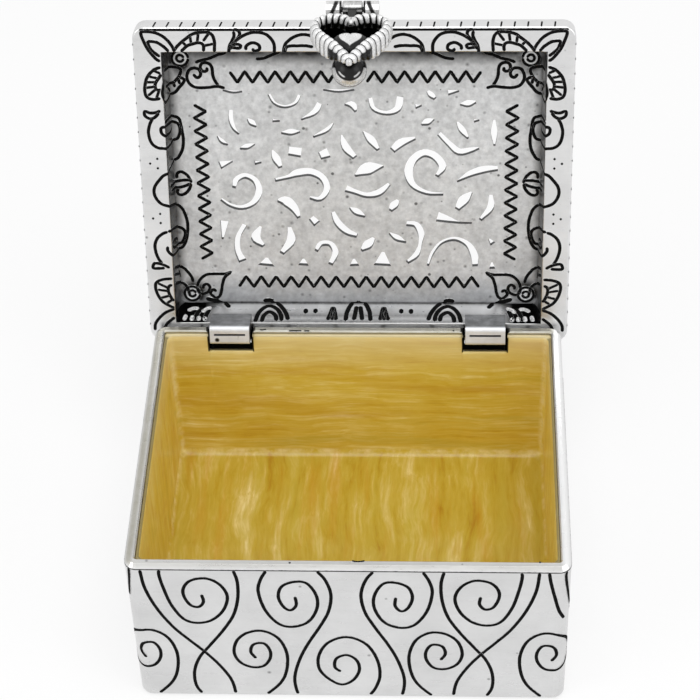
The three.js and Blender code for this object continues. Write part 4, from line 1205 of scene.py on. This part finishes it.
# %% The walls unrolled
quarter = np.linspace(0, np.pi / 2, 13)
turn_x = BODY_X - BODY_CORNER + BODY_CORNER * np.sin(quarter)
turn_y = -BODY_Y + BODY_CORNER - BODY_CORNER * np.cos(quarter)
outline = np.vstack([
    [0, -BODY_Y, 0, -1],
    np.column_stack([turn_x, turn_y, np.sin(quarter), -np.cos(quarter)]),
    np.column_stack([turn_x, -turn_y, np.sin(quarter), np.cos(quarter)])[::-1],
    [0, BODY_Y, 0, 1]])
round_length = length_along(outline[:, :2])
SIDE_MIDDLE = round_length[-1] / 2


def wall(path):
    """Unrolled (distance round, height) to a point on the wall and its outward direction."""
    side = np.where(path[:, 0] < 0, -1.0, 1.0)
    x, y, nx, ny = (np.interp(np.abs(path[:, 0]), round_length, column) for column in outline.T)
    return (np.column_stack([side * x, y, path[:, 1]]),
            np.column_stack([side * nx, ny, np.zeros(len(path))]))


def back_wall(path):
    """The back of the body seen from behind: across to the right, and height."""
    ones, zeros = np.ones(len(path)), np.zeros(len(path))
    return (np.column_stack([-path[:, 0], BODY_Y * ones, path[:, 1]]),
            np.column_stack([zeros, ones, zeros]))


print("half the way round the body is", round(round_length[-1], 1), "mm")

# %% [markdown]
# The scrolls are spirals and crossing stems. Each is drawn once, on the left half, and mirrored.
# The engraver worked by eye, so the second half of every pair lies a little out of true.

# %% Scrolls on the walls
SCROLLS = {
    "long_left": [(-41.7, 41.4), (-41.1, 35.2), (-39.2, 28.9), (-36.3, 23), (-33.2, 18.7),
                  (-30.3, 14.9), (-27.5, 10.5), (-25.3, 5.5), (-24.5, -0.3)],
    "upper_outer": [(-29.7, 33.4), (-29.5, 31.1), (-30.6, 29.5), (-32.3, 30.2), (-33.4, 33.2),
                    (-33.1, 35.8), (-31.4, 37.9), (-28.3, 38.4), (-25.7, 36.4), (-24.5, 32.8),
                    (-25.6, 28.5), (-28.2, 25.3), (-31.4, 24.4), (-34, 25.7), (-36.1, 30),
                    (-37.3, 35.2), (-37.9, 39.4), (-37.7, 41.4)],
    "crossing": [(-22.9, 41.4), (-22.2, 37.5), (-22.4, 32.3), (-23.6, 27), (-26, 22.1),
                 (-29.1, 17.1), (-31.5, 13.2), (-32.9, 8.7), (-33, 4.2), (-32, 1.3), (-30.7, -0.4)],
    "upper_inner": [(-10.7, 33), (-10.6, 30.3), (-11.8, 28.7), (-13.2, 29.8), (-14.1, 32.9),
                    (-13.3, 36.1), (-10.8, 37.6), (-8.2, 37.2), (-6.4, 33.5), (-6.4, 29.3),
                    (-8.3, 25.1), (-11.5, 23.4), (-14.5, 24.4), (-17, 28.7), (-18.1, 34.4),
                    (-17.5, 38.1), (-16, 41.4)],
    "stem": [(-6.3, 41.4), (-4.4, 38.2), (-3.4, 33.6), (-4.1, 28.3), (-6, 23.5), (-8.6, 18),
             (-10.5, 13), (-11.8, 7.4), (-11.8, 3.4), (-11.1, -0.3)],
    "lower": [(-19.7, 12.9), (-20.7, 15.1), (-20, 17.5), (-17.9, 17.9), (-16.7, 15.7),
              (-16.8, 12.9), (-18.3, 10.4), (-20.8, 10), (-23.2, 11.7), (-24.2, 15), (-23.3, 18.9),
              (-20.9, 21.4), (-17.7, 21.9), (-14.7, 19.5), (-13.2, 14.6), (-13.5, 9), (-15.1, 4.5),
              (-18.9, -0.2)],
    "middle": [(-2.1, 8.7), (-3.3, 10.3), (-2.9, 13.1), (-0.7, 14.3), (1.3, 12.6), (1.8, 9.3),
               (0.4, 5.9), (-2.1, 4.4), (-4.8, 6.4), (-6.6, 9.7), (-6.5, 14.2), (-4.4, 18.4),
               (-0.6, 20.2), (3.2, 18.2), (5.5, 13.3), (6.1, 7.7), (5, 3.1), (3.1, -0.3)],
}
OUT_OF_TRUE = {"long_left": 3.1, "upper_outer": 2.8, "crossing": 3.3, "upper_inner": 1.0,
               "stem": 0.7, "lower": 0.9}
LOW, HIGH = 0.95, 40.95
NOTCH_CLEAR, FEWEST_POINTS = 1.3, 6
RIM_LINE, RIM_LINE_WIDE = 41.0, 0.3
EDGE_LINES = [
    [(40.5, 40.9), (40.9, 38), (41.9, 33.2), (42.8, 29.4), (44, 26.5)],
    [(-44, 40.9), (-44.3, 37.4), (-45, 32)],
]


def wall_lines(surface, names, middle, shift=0.0, notched=False):
    """Scrolls placed about a middle of the unrolled wall, cut at foot and rim, and at the hinge
    notches if it has them."""
    made = []
    for name in names:
        for mirror in ((1,) if name == "middle" else (1, -1)):
            path = smooth_path(SCROLLS[name])
            path[:, 0] = mirror * (path[:, 0] + shift) + middle
            if mirror < 0:
                path[:, 0] -= OUT_OF_TRUE[name]
            keep = (path[:, 1] > LOW) & (path[:, 1] < HIGH)
            if notched:
                by_notch = np.abs(np.abs(path[:, 0] - middle) - NOTCH_X) < NOTCH_HALF + NOTCH_CLEAR
                keep &= ~(by_notch & (path[:, 1] > NOTCH_FLOOR - 0.6))
            cuts = np.flatnonzero(np.diff(keep.astype(int))) + 1
            runs = zip(np.split(path, cuts), np.split(keep, cuts))
            made += [strip(surface, run) for run, kept in runs
                     if kept[0] and len(run) > FEWEST_POINTS]
    return made


lines = wall_lines(wall, SCROLLS, 0.0) + wall_lines(wall, ["lower"], 0.0, -23.0)
engrave("front_scrolls", lines + [strip(wall, smooth_path(p)) for p in EDGE_LINES], "box")
for side, middle in (("left", -SIDE_MIDDLE), ("right", SIDE_MIDDLE)):
    lines = wall_lines(wall, ["upper_inner", "stem", "lower", "middle"], middle)
    engrave("side_scrolls_" + side, lines + wall_lines(wall, ["upper_outer"], middle, 2.6), "box")
back_names = [name for name in SCROLLS if name != "long_left"]
engrave("back_scrolls", wall_lines(back_wall, back_names, 0.0, notched=True), "box")
rim_round = np.linspace(-SIDE_MIDDLE - 20, SIDE_MIDDLE + 20, 900)
rim_path = np.column_stack([rim_round, np.full(900, RIM_LINE)])
engrave("rim_line", [strip(wall, rim_path, RIM_LINE_WIDE)], "box")

# %% [markdown]
# Use has left a few black chips on the rim, most of them by the hinges and in the middle of the
# front.

# %% Rim chips
CHIPS = [
    [(1.0, -33.5), (1.9, -33.75), (2.7, -33.7), (3.6, -33.5)],
    [(-21.7, 33.75), (-21, 33.65), (-20.3, 33.9)], [(-15.2, 33.4), (-13.9, 33.45), (-12.4, 33.4)],
    [(-11.8, 33.42), (-10.6, 33.4)], [(21.1, 33.8), (21.5, 33.5)], [(-11.7, -34.2), (-11.2, -34.2)],
    [(38.4, -33.5), (38.9, -33.55)],
]
CHIP_WIDE, CHIP_GAP = 0.42, 0.1


def rim_level(path):
    """(x, y) on the top of the rim."""
    flat = np.zeros(len(path))
    return (np.column_stack([path, flat + BODY_TOP]), np.column_stack([flat, flat, flat + 1]))


chips = [strip(rim_level, smooth_path(p), CHIP_WIDE, CHIP_GAP) for p in CHIPS]
engrave("rim_chips", chips, "box")

# %% [markdown]
# Under the lid the engraving runs from the flat flange down the recess wall and out on to the
# panel. Its section is unrolled in the same way: distance inward from the flange's edge, along the
# wall, and on across the panel.

# %% The lid's underside unrolled
DRAFT_FRONT = 0.95 * RECESS / LEDGE
WALL_X, WALL_Y, WALL_FRONT = (math.hypot(RECESS, d) for d in (DRAFT_X, DRAFT_Y, DRAFT_FRONT))
BEND = 0.35
BEYOND = 10


def section(inward, edge, draft, length):
    """Distance inward from the flange's edge to (distance from the middle, rise, facing in, facing
    down). The direction turns over a short bend at each fold."""
    folds = [-BEYOND, 0, length, length + edge]
    reach = np.interp(inward, folds, [edge + BEYOND, edge, edge - draft, -draft])
    rise = np.interp(inward, folds, [0, 0, RECESS, RECESS])
    tilt = np.interp(inward, [-BEND, BEND, length - BEND, length + BEND], [0, 1, 1, 0])
    slope = math.atan2(RECESS, draft)
    return reach, rise, np.sin(tilt * slope), np.cos(tilt * slope)


def lid_points(x, y, rise, facing_x, facing_y, facing_down):
    """Closed-lid points and directions, turned to where the open lid stands."""
    base = np.column_stack([x, y, LID_BOTTOM + rise])
    tip = base + np.column_stack([facing_x, facing_y, -facing_down])
    return opened(base), opened(tip) - opened(base)


def lid_side(sign):
    """The left or right of the lid as a surface of (inward, y)."""
    def surface(path):
        reach, rise, inward, facing = section(path[:, 0], FLANGE_X, DRAFT_X, WALL_X)
        return lid_points(sign * reach, path[:, 1], rise, -sign * inward, 0 * inward, facing)
    return surface


def lid_end(sign):
    """The front or the hinge end of the lid as a surface of (x, inward)."""
    hinge_end, front_end = (FLANGE_Y, DRAFT_Y, WALL_Y), (-FLANGE_FRONT_Y, DRAFT_FRONT, WALL_FRONT)

    def surface(path):
        reach, rise, inward, facing = section(path[:, 1], *(hinge_end if sign > 0 else front_end))
        return lid_points(path[:, 0], sign * reach, rise, 0 * inward, -sign * inward, facing)
    return surface


def lid_level(rise):
    """A level face of the lid's underside as a surface of (x, y)."""
    def surface(path):
        flat = np.zeros(len(path))
        return lid_points(path[:, 0], path[:, 1], flat + rise, flat, flat, flat + 1)
    return surface


def mirrored(surface, paths, width=LINE):
    """Lines on a face of the lid, each with its mirror image across the lid's middle."""
    return [strip(surface, path * (sign, 1), width) for path in paths for sign in (1, -1)]


flange, panel = lid_level(0.0), lid_level(RECESS)
print("the recess wall unrolls to", round(WALL_X, 2), "mm at the sides")

# %% [markdown]
# Ribbed leaves fill the corners of the flange, and three dots stand on each side of the vine's
# bulge. Lines that turn are drawn as curves, and the ribs of a leaf as short rungs.

# %% Leaves on the flange
FLANGE_CURVES = [
    [(-37.8, -31.5), (-38.1, -32.6), (-39.5, -34.5), (-41.5, -35.7), (-44, -36), (-44.6, -35.6),
     (-44.2, -34.1), (-43.3, -32), (-41.8, -30), (-40.8, -29.3)],
    [(-38.9, -31.5), (-39.9, -32.6), (-41.4, -33.6), (-43, -33.8), (-43.2, -33.2), (-42.5, -31.8),
     (-41.1, -30.6), (-40.8, -30.4)],
    [(-38, -31.5), (-37.2, -32.6), (-36.3, -33.5), (-35.2, -34.4), (-33.8, -35.4), (-32.1, -35.8),
     (-30.5, -35.8), (-29.6, -35.2), (-29.2, -33.9), (-29.2, -32.6), (-29.3, -31.4)],
    [(-36.4, -31.5), (-35, -32.8), (-33.9, -33.2), (-32.7, -33.5), (-31.8, -33.3), (-31.5, -32.6),
     (-31.6, -31.5)],
    [(-40.8, -28.1), (-42.4, -27.4), (-43.7, -26), (-44.3, -24.4), (-44.5, -22.6), (-44.1, -21.3),
     (-42.9, -20.8), (-41.2, -21)],
    [(-40.8, -26.5), (-41.3, -25.7), (-42.1, -24.5), (-42.2, -23.4), (-41.7, -22.9), (-41, -23.1)],
    [(-40.9, 21.6), (-43, 21.8), (-44.5, 22.5), (-44.8, 23.9), (-44.3, 25.8), (-43.3, 27.4),
     (-41.8, 28.4), (-40.8, 28.9)],
    [(-41, 23.1), (-41.8, 23.5), (-42, 24.7), (-41.4, 26.4), (-40.8, 27.2)],
    [(-45.5, 34.5), (-45.3, 32.8), (-44.2, 31.2), (-42.7, 29.9), (-40.8, 29.1)],
    [(-43.6, 34.8), (-42.8, 32.9), (-41.4, 31.6), (-40.8, 31.2)],
]
RUNGS = [
    ((-36, -33.8), (-35.2, -32.8)), ((-34.3, -35.1), (-34.1, -33.3)),
    ((-32.5, -35.7), (-32.8, -33.6)), ((-30.2, -35.7), (-31.6, -33.8)),
    ((-29.3, -33.3), (-31.5, -32.8)), ((-42.4, -27.3), (-40.9, -26.6)),
    ((-43.5, -26), (-41.4, -25.5)), ((-44.2, -24.7), (-41.9, -24.7)),
    ((-44.4, -23.4), (-42.1, -23.7)), ((-43.9, -21.6), (-42, -23.2)),
    ((-42.2, -20.8), (-41.4, -22.9)), ((-44.3, 22.7), (-42, 23.9)), ((-44.4, 24.3), (-42, 24.7)),
    ((-43.8, 26.4), (-41.7, 25.8)), ((-42.6, 27.8), (-41.2, 26.8)),
]
DOTS = [(-44.3, -6), (-42.7, -7.1), (-42.7, -4.9), (-44.4, 7), (-42.8, 5.9), (-42.8, 8.1)]
DOT_HALF, DOT_WIDE, RUNG_WIDE = 0.3, 0.62, 0.7
dots = [corner_path([(x, y - DOT_HALF), (x, y + DOT_HALF)]) for x, y in DOTS]
lines = mirrored(flange, [smooth_path(p) for p in FLANGE_CURVES])
lines += mirrored(flange, [corner_path(p) for p in RUNGS], RUNG_WIDE)
engrave("flange_leaves", lines + mirrored(flange, dots, DOT_WIDE), "lid")

# %% [markdown]
# A vine climbs each side of the lid. It starts from a bud on the flange, rolls over the edge, makes
# a spiral on the wall, and crosses back again.

# %% Side vines
SIDE_CURVES = [
    [(-0.7, -18.2), (-1.8, -17.8), (-3, -17.7), (-4.1, -18.1), (-4.2, -17.2), (-3.6, -16.6),
     (-2.7, -16.4), (-1.8, -16.9), (-1.1, -17.8)],
    [(-2.5, -16.4), (-3.1, -15.4), (-3.5, -14.1), (-3.6, -12.9), (-3.3, -11.3), (-2.6, -10.2),
     (-1.5, -9.6), (-0.2, -9.5), (3.7, -8.9), (6.7, -9.2), (7.5, -10.1), (7.8, -11.4),
     (7.5, -12.7), (6.7, -13.2), (4.8, -13.6), (0.8, -14.4), (-0.7, -14.3), (-0.9, -13.5),
     (-0.5, -12.7), (0.8, -12.2), (4.4, -11.6), (5.6, -12.2)],
    [(0, -15.5), (4.1, -15), (6.8, -14.5), (7.7, -14), (8, -12.7), (8.2, -11.2), (8.4, -9.3),
     (8.2, -7.3), (7.5, -5.6), (6.2, -4.4), (1.5, -3.9), (-0.7, -3.3), (-1.9, -2.1), (-2.9, -0.7),
     (-3.2, 0.7), (-2.9, 2), (-2.1, 3.2), (-1.1, 3.8), (0.6, 4.3), (5.2, 5.8), (7.1, 7),
     (7.9, 8.7), (8.3, 10.5), (8.3, 12.4), (8, 14.3), (7.4, 16), (6.2, 17), (3.2, 16.8), (0.3, 16),
     (-0.9, 14.8), (-0.9, 13.7)],
    [(-0.7, 10.2), (0.4, 10), (3.5, 10.8), (6.2, 11.7), (7.4, 12.4), (7.7, 13.5), (7.2, 15),
     (6.2, 15.7), (2.5, 15.1), (0.6, 13.9), (1.3, 13.1), (4.4, 13.8), (5.4, 14.8)],
    [(-0.7, 10.2), (-1.9, 10.7), (-3.1, 11.8), (-3.7, 13.4), (-3.6, 15.1), (-3.1, 16.7),
     (-2.3, 18)],
    [(1.6, 0), (5.2, 0.8), (7.7, 0.5), (9.1, 0.5), (9.7, 0.9)],
    [(2.4, 1.4), (6.2, 2.2), (8.4, 1.8), (9.5, 1.2)],
    [(6.5, 0.1), (6.6, -1), (7.2, -1.5), (7.9, -1.4), (8.9, -0.6), (9.5, 0.6), (9.6, 1.2)],
    [(9.6, 1.2), (9.2, 2.5), (8.3, 3.6), (7.3, 4), (6.6, 3.7), (6.5, 3), (6.9, 2.5)],
    [(-0.7, 19), (-2.1, 18.2), (-3.8, 17.8), (-4.3, 18.2), (-4.4, 19), (-3.3, 19.1), (-1.8, 19)],
    [(0.9, 19.4), (6.3, 21.5), (7.7, 22.7), (8.6, 24.1), (8.9, 25.4)],
    [(0.9, 23.3), (6.1, 25.4), (7.4, 26.4), (7.8, 27.9), (8, 28.7)],
    [(1.8, -26.6), (5.2, -26), (7.7, -25.8), (8.6, -25.3), (8.4, -24.2), (7.6, -23), (6.3, -22.2),
     (2.5, -22.6)],
    [(7.9, -23.7), (9.3, -22.9), (8.1, -21.2), (6.5, -19.8), (1.8, -19.4), (0, -21.3),
     (0.2, -24.1), (1.7, -26.5)],
    [(7.9, -23.5), (8.3, -21.9)], [(6.8, -22.7), (7.2, -21.2)], [(3.8, -22.1), (6.2, -20.3)],
    [(0.8, 21), (5.5, 23)], [(4.5, 21.4), (6.2, 24)], [(0.6, -19.6), (0.9, -17.4)],
]
lines = [strip(lid_side(sign), smooth_path(p)) for p in SIDE_CURVES for sign in (-1, 1)]
engrave("side_vines", lines, "lid")

# %% [markdown]
# The front of the lid has a running vine with buds and curls. The hinge end has arches, small
# trees, and a fan of petals in its middle. Bright petals stand out of the black in its corners.

# %% Front vine and hinge-end arches
FRONT_CURVES = [
    [(-34.2, 9.7), (-33, 9.2), (-31.1, 8.7), (-29.3, 7.9), (-27.5, 7.1), (-26.6, 2.9),
     (-26.1, -1.1), (-25.5, -2.4), (-25, -3.6), (-25.1, -4.7)],
    [(-25.1, -4.7), (-24.8, -5), (-24, -4.7), (-23.8, -3.9), (-24.2, -3.2), (-25, -2.4)],
    [(-25.5, -1.6), (-24.5, -1.8), (-23.7, -1.5), (-24, -0.9), (-25.2, -1), (-26, -1.1)],
    [(-26.1, -0.5), (-24.9, -2.3), (-23, -3.7), (-20.8, -4.4), (-18.4, -4), (-16.9, -2.4),
     (-16.6, -0.7), (-17, 1.5)],
    [(-22.6, -0.4), (-22.5, -1.4), (-21.2, -2.1), (-19.9, -1.6), (-19.8, -0.6), (-20.9, -0.3),
     (-21.2, -0.9)],
    [(-21.2, 8.9), (-19.5, 8.7), (-17.6, 7.9), (-15.8, 6.8), (-15, 2.9), (-14.5, -1.2),
     (-13.4, -2.7), (-11.9, -3.6), (-10.4, -3.9), (-8.9, -3.6), (-7.4, -2.7)],
    [(-15.3, 6.1), (-14.6, 1.2), (-14, -1.1), (-11.7, -1.4), (-9.9, -1.4), (-8.4, -1.1)],
]
ARCHES = [
    [(-23, 0.2), (-22.4, 2.8), (-21.2, 4.6), (-19.7, 5.1), (-18.2, 4.1), (-17.3, 2.3),
     (-17.1, 0.5)],
    [(-21.5, 0.2), (-21.2, 2), (-20, 3.3), (-18.6, 2.3), (-18.2, 0.5)],
    [(-21.5, 6.8), (-19.6, 6.8), (-17.7, 5.4), (-16.3, 3.1), (-15.6, 0.8)],
    [(-11.8, 4.4), (-11.8, 2.8)], [(-9.6, 4.4), (-9.6, 2.9)], [(-6.8, 0.8), (-6.1, 3.2), (-5.7, 5)],
    [(-4.9, 0.8), (-5.3, 3.2), (-5.7, 5)], [(-5.8, 0.8), (-5.7, 4)],
    [(-2.8, 0.6), (-2.5, 3.4), (-1.5, 5.9), (0, 6.7)], [(-0.95, 0.8), (-0.4, 5.2)],
    [(-34.4, 7.4), (-32.8, 6.8), (-30.5, 6.4), (-28.9, 4.6)], [(-36.6, 0.6), (-36, 3), (-35, 4.6)],
    [(-34.4, 0.6), (-34, 2.6), (-33.4, 4)],
]
PETALS = [
    [(-39, 0.6), (-38.6, 2.4)], [(-37.3, 0.5), (-37.1, 2.2)], [(-35.7, 0.5), (-35.7, 2)],
    [(-34.2, 0.4), (-34.4, 1.8)], [(-38.4, 3.6), (-37, 4.4), (-35.8, 4.2)],
    [(-35.2, 3.2), (-34, 4.3), (-33, 4.6)],
]
ARCH_WIDE, PETAL_WIDE = 1.15, 1.0


def end_lines(curves, sign, width):
    """Lines at one end of the lid, with their mirror images across its middle."""
    return mirrored(lid_end(sign), [smooth_path(p) for p in curves], width)


petals = [(grid, np.ones_like(uv)) for grid, uv in end_lines(PETALS, 1, PETAL_WIDE)]
piece("corner_petals", petals, pull_silver, "lid")
engrave("front_vine", end_lines(FRONT_CURVES, -1, LINE), "lid")
engrave("hinge_arches", end_lines(ARCHES, 1, ARCH_WIDE), "lid")

# %% [markdown]
# On the panel a zigzag runs along each side of the pierced field, with a curled leaf in each corner
# and a small rosette outside it.

# %% Panel zigzags and leaves
PANEL_LEAVES = [
    [(-34.7, -24.3), (-34.4, -23.8), (-33.9, -23.4), (-33.3, -23.7), (-33.1, -24.5),
     (-33.5, -25.3), (-34.4, -25.6), (-35.4, -25.3), (-35.9, -24.5), (-36.1, -23.4),
     (-35.7, -22.2), (-34.8, -21.4), (-33.3, -21.1), (-31.4, -21.2), (-29.6, -21.4), (-28, -21)],
    [(-31.8, -25.8), (-31.7, -25.1), (-32.3, -24.8), (-32.9, -25.1), (-33.1, -25.9),
     (-32.7, -26.7), (-31.8, -26.8), (-31, -26.4), (-30.6, -25.5), (-30.5, -24), (-30.1, -22.7),
     (-29.4, -21.6)],
    [(-28.3, 22.7), (-29.9, 23.3), (-32.1, 23.3), (-34, 23.5), (-35.5, 24.7), (-36.2, 26.4),
     (-35.9, 27.9), (-35, 28.3), (-33.8, 27.7), (-33.4, 26.6), (-34.1, 25.8), (-34.9, 26.4),
     (-34.7, 27)],
    [(-28.5, 22.9), (-29.9, 24.1), (-30.5, 25.8), (-30.8, 27.4), (-31.2, 28.7), (-32, 29.3),
     (-32.7, 28.9), (-33.3, 28.1), (-32.7, 27.2), (-31.9, 27.7)],
]
ROSETTE_RINGS, RING_WIDE = (0.75, 1.75), 0.7


def zigzag(start, step, rise, count):
    """Points that go back and forth: point k = start + k x step, plus the rise on every second."""
    k = np.arange(count)[:, None]
    return corner_path(np.array(start) + k * np.array(step) + (k % 2) * np.array(rise))


lines = mirrored(panel, [smooth_path(p) for p in PANEL_LEAVES])
lines += [strip(panel, path) for path in (
    zigzag((-26.9, -24.8), (1.63, 0), (0, 2.5), 15),
    zigzag((26.9, -24.8), (-1.63, 0), (0, 2.5), 16),
    zigzag((-26.8, 26.5), (1.68, 0), (0, -2.6), 33))]
lines += mirrored(panel, [zigzag((-35, -17.2), (0, 1.535), (2.6, 0), 25)])
round_about = np.linspace(0, 2 * np.pi, 25)
circle = np.column_stack([np.cos(round_about), np.sin(round_about)])
for sign in (-1, 1):
    middle = (-ROSETTE_X, sign * ROSETTE_Y - ROSETTE_SHIFT)
    lines += mirrored(panel, [middle + r * circle for r in ROSETTE_RINGS], RING_WIDE)
engrave("panel_lines", lines, "lid")

# %% [markdown]
# The lid's upright edge is nicked all round with short black ticks, and a thin line parts it from
# the flange at the front.

# %% Lid edge ticks
TICK_LOW, TICK_HIGH, TICK_SLANT, TICK_WIDE = 0.05, 3.1, 0.25, 0.42
LINE_FROM_END, LINE_FROM_EDGE, EDGE_LINE = 1.6, 0.6, 0.62


def lid_edge(axis, sign):
    """One upright edge of the lid as a surface of (along the edge, rise)."""
    def surface(path):
        flat = np.zeros(len(path))
        along, rise, out = path[:, 0], path[:, 1], flat + sign
        if axis == 0:
            return lid_points(sign * LID_X + flat, along, rise, out, flat, flat)
        return lid_points(along, sign * LID_Y + flat, rise, flat, out, flat)
    return surface


def ticks(axis, sign, reach, pitch):
    """Short upright lines an even pitch apart along one edge."""
    paths = [corner_path([(at, TICK_LOW), (at + TICK_SLANT, TICK_HIGH)])
             for at in np.arange(-reach, reach + 0.1, pitch)]
    return [strip(lid_edge(axis, sign), path, TICK_WIDE) for path in paths]


lines = []
for axis, reach, pitch in ((1, 42.0, 2.8), (0, 33.0, 3.3)):
    lines += ticks(axis, -1, reach, pitch) + ticks(axis, 1, reach, pitch)
line_end, line_y = LID_X - LINE_FROM_END, LINE_FROM_EDGE - LID_Y
front_line = corner_path([(-line_end, line_y), (line_end, line_y)], 300)
engrave("edge_ticks", lines + [strip(flange, front_line, EDGE_LINE)], "lid")
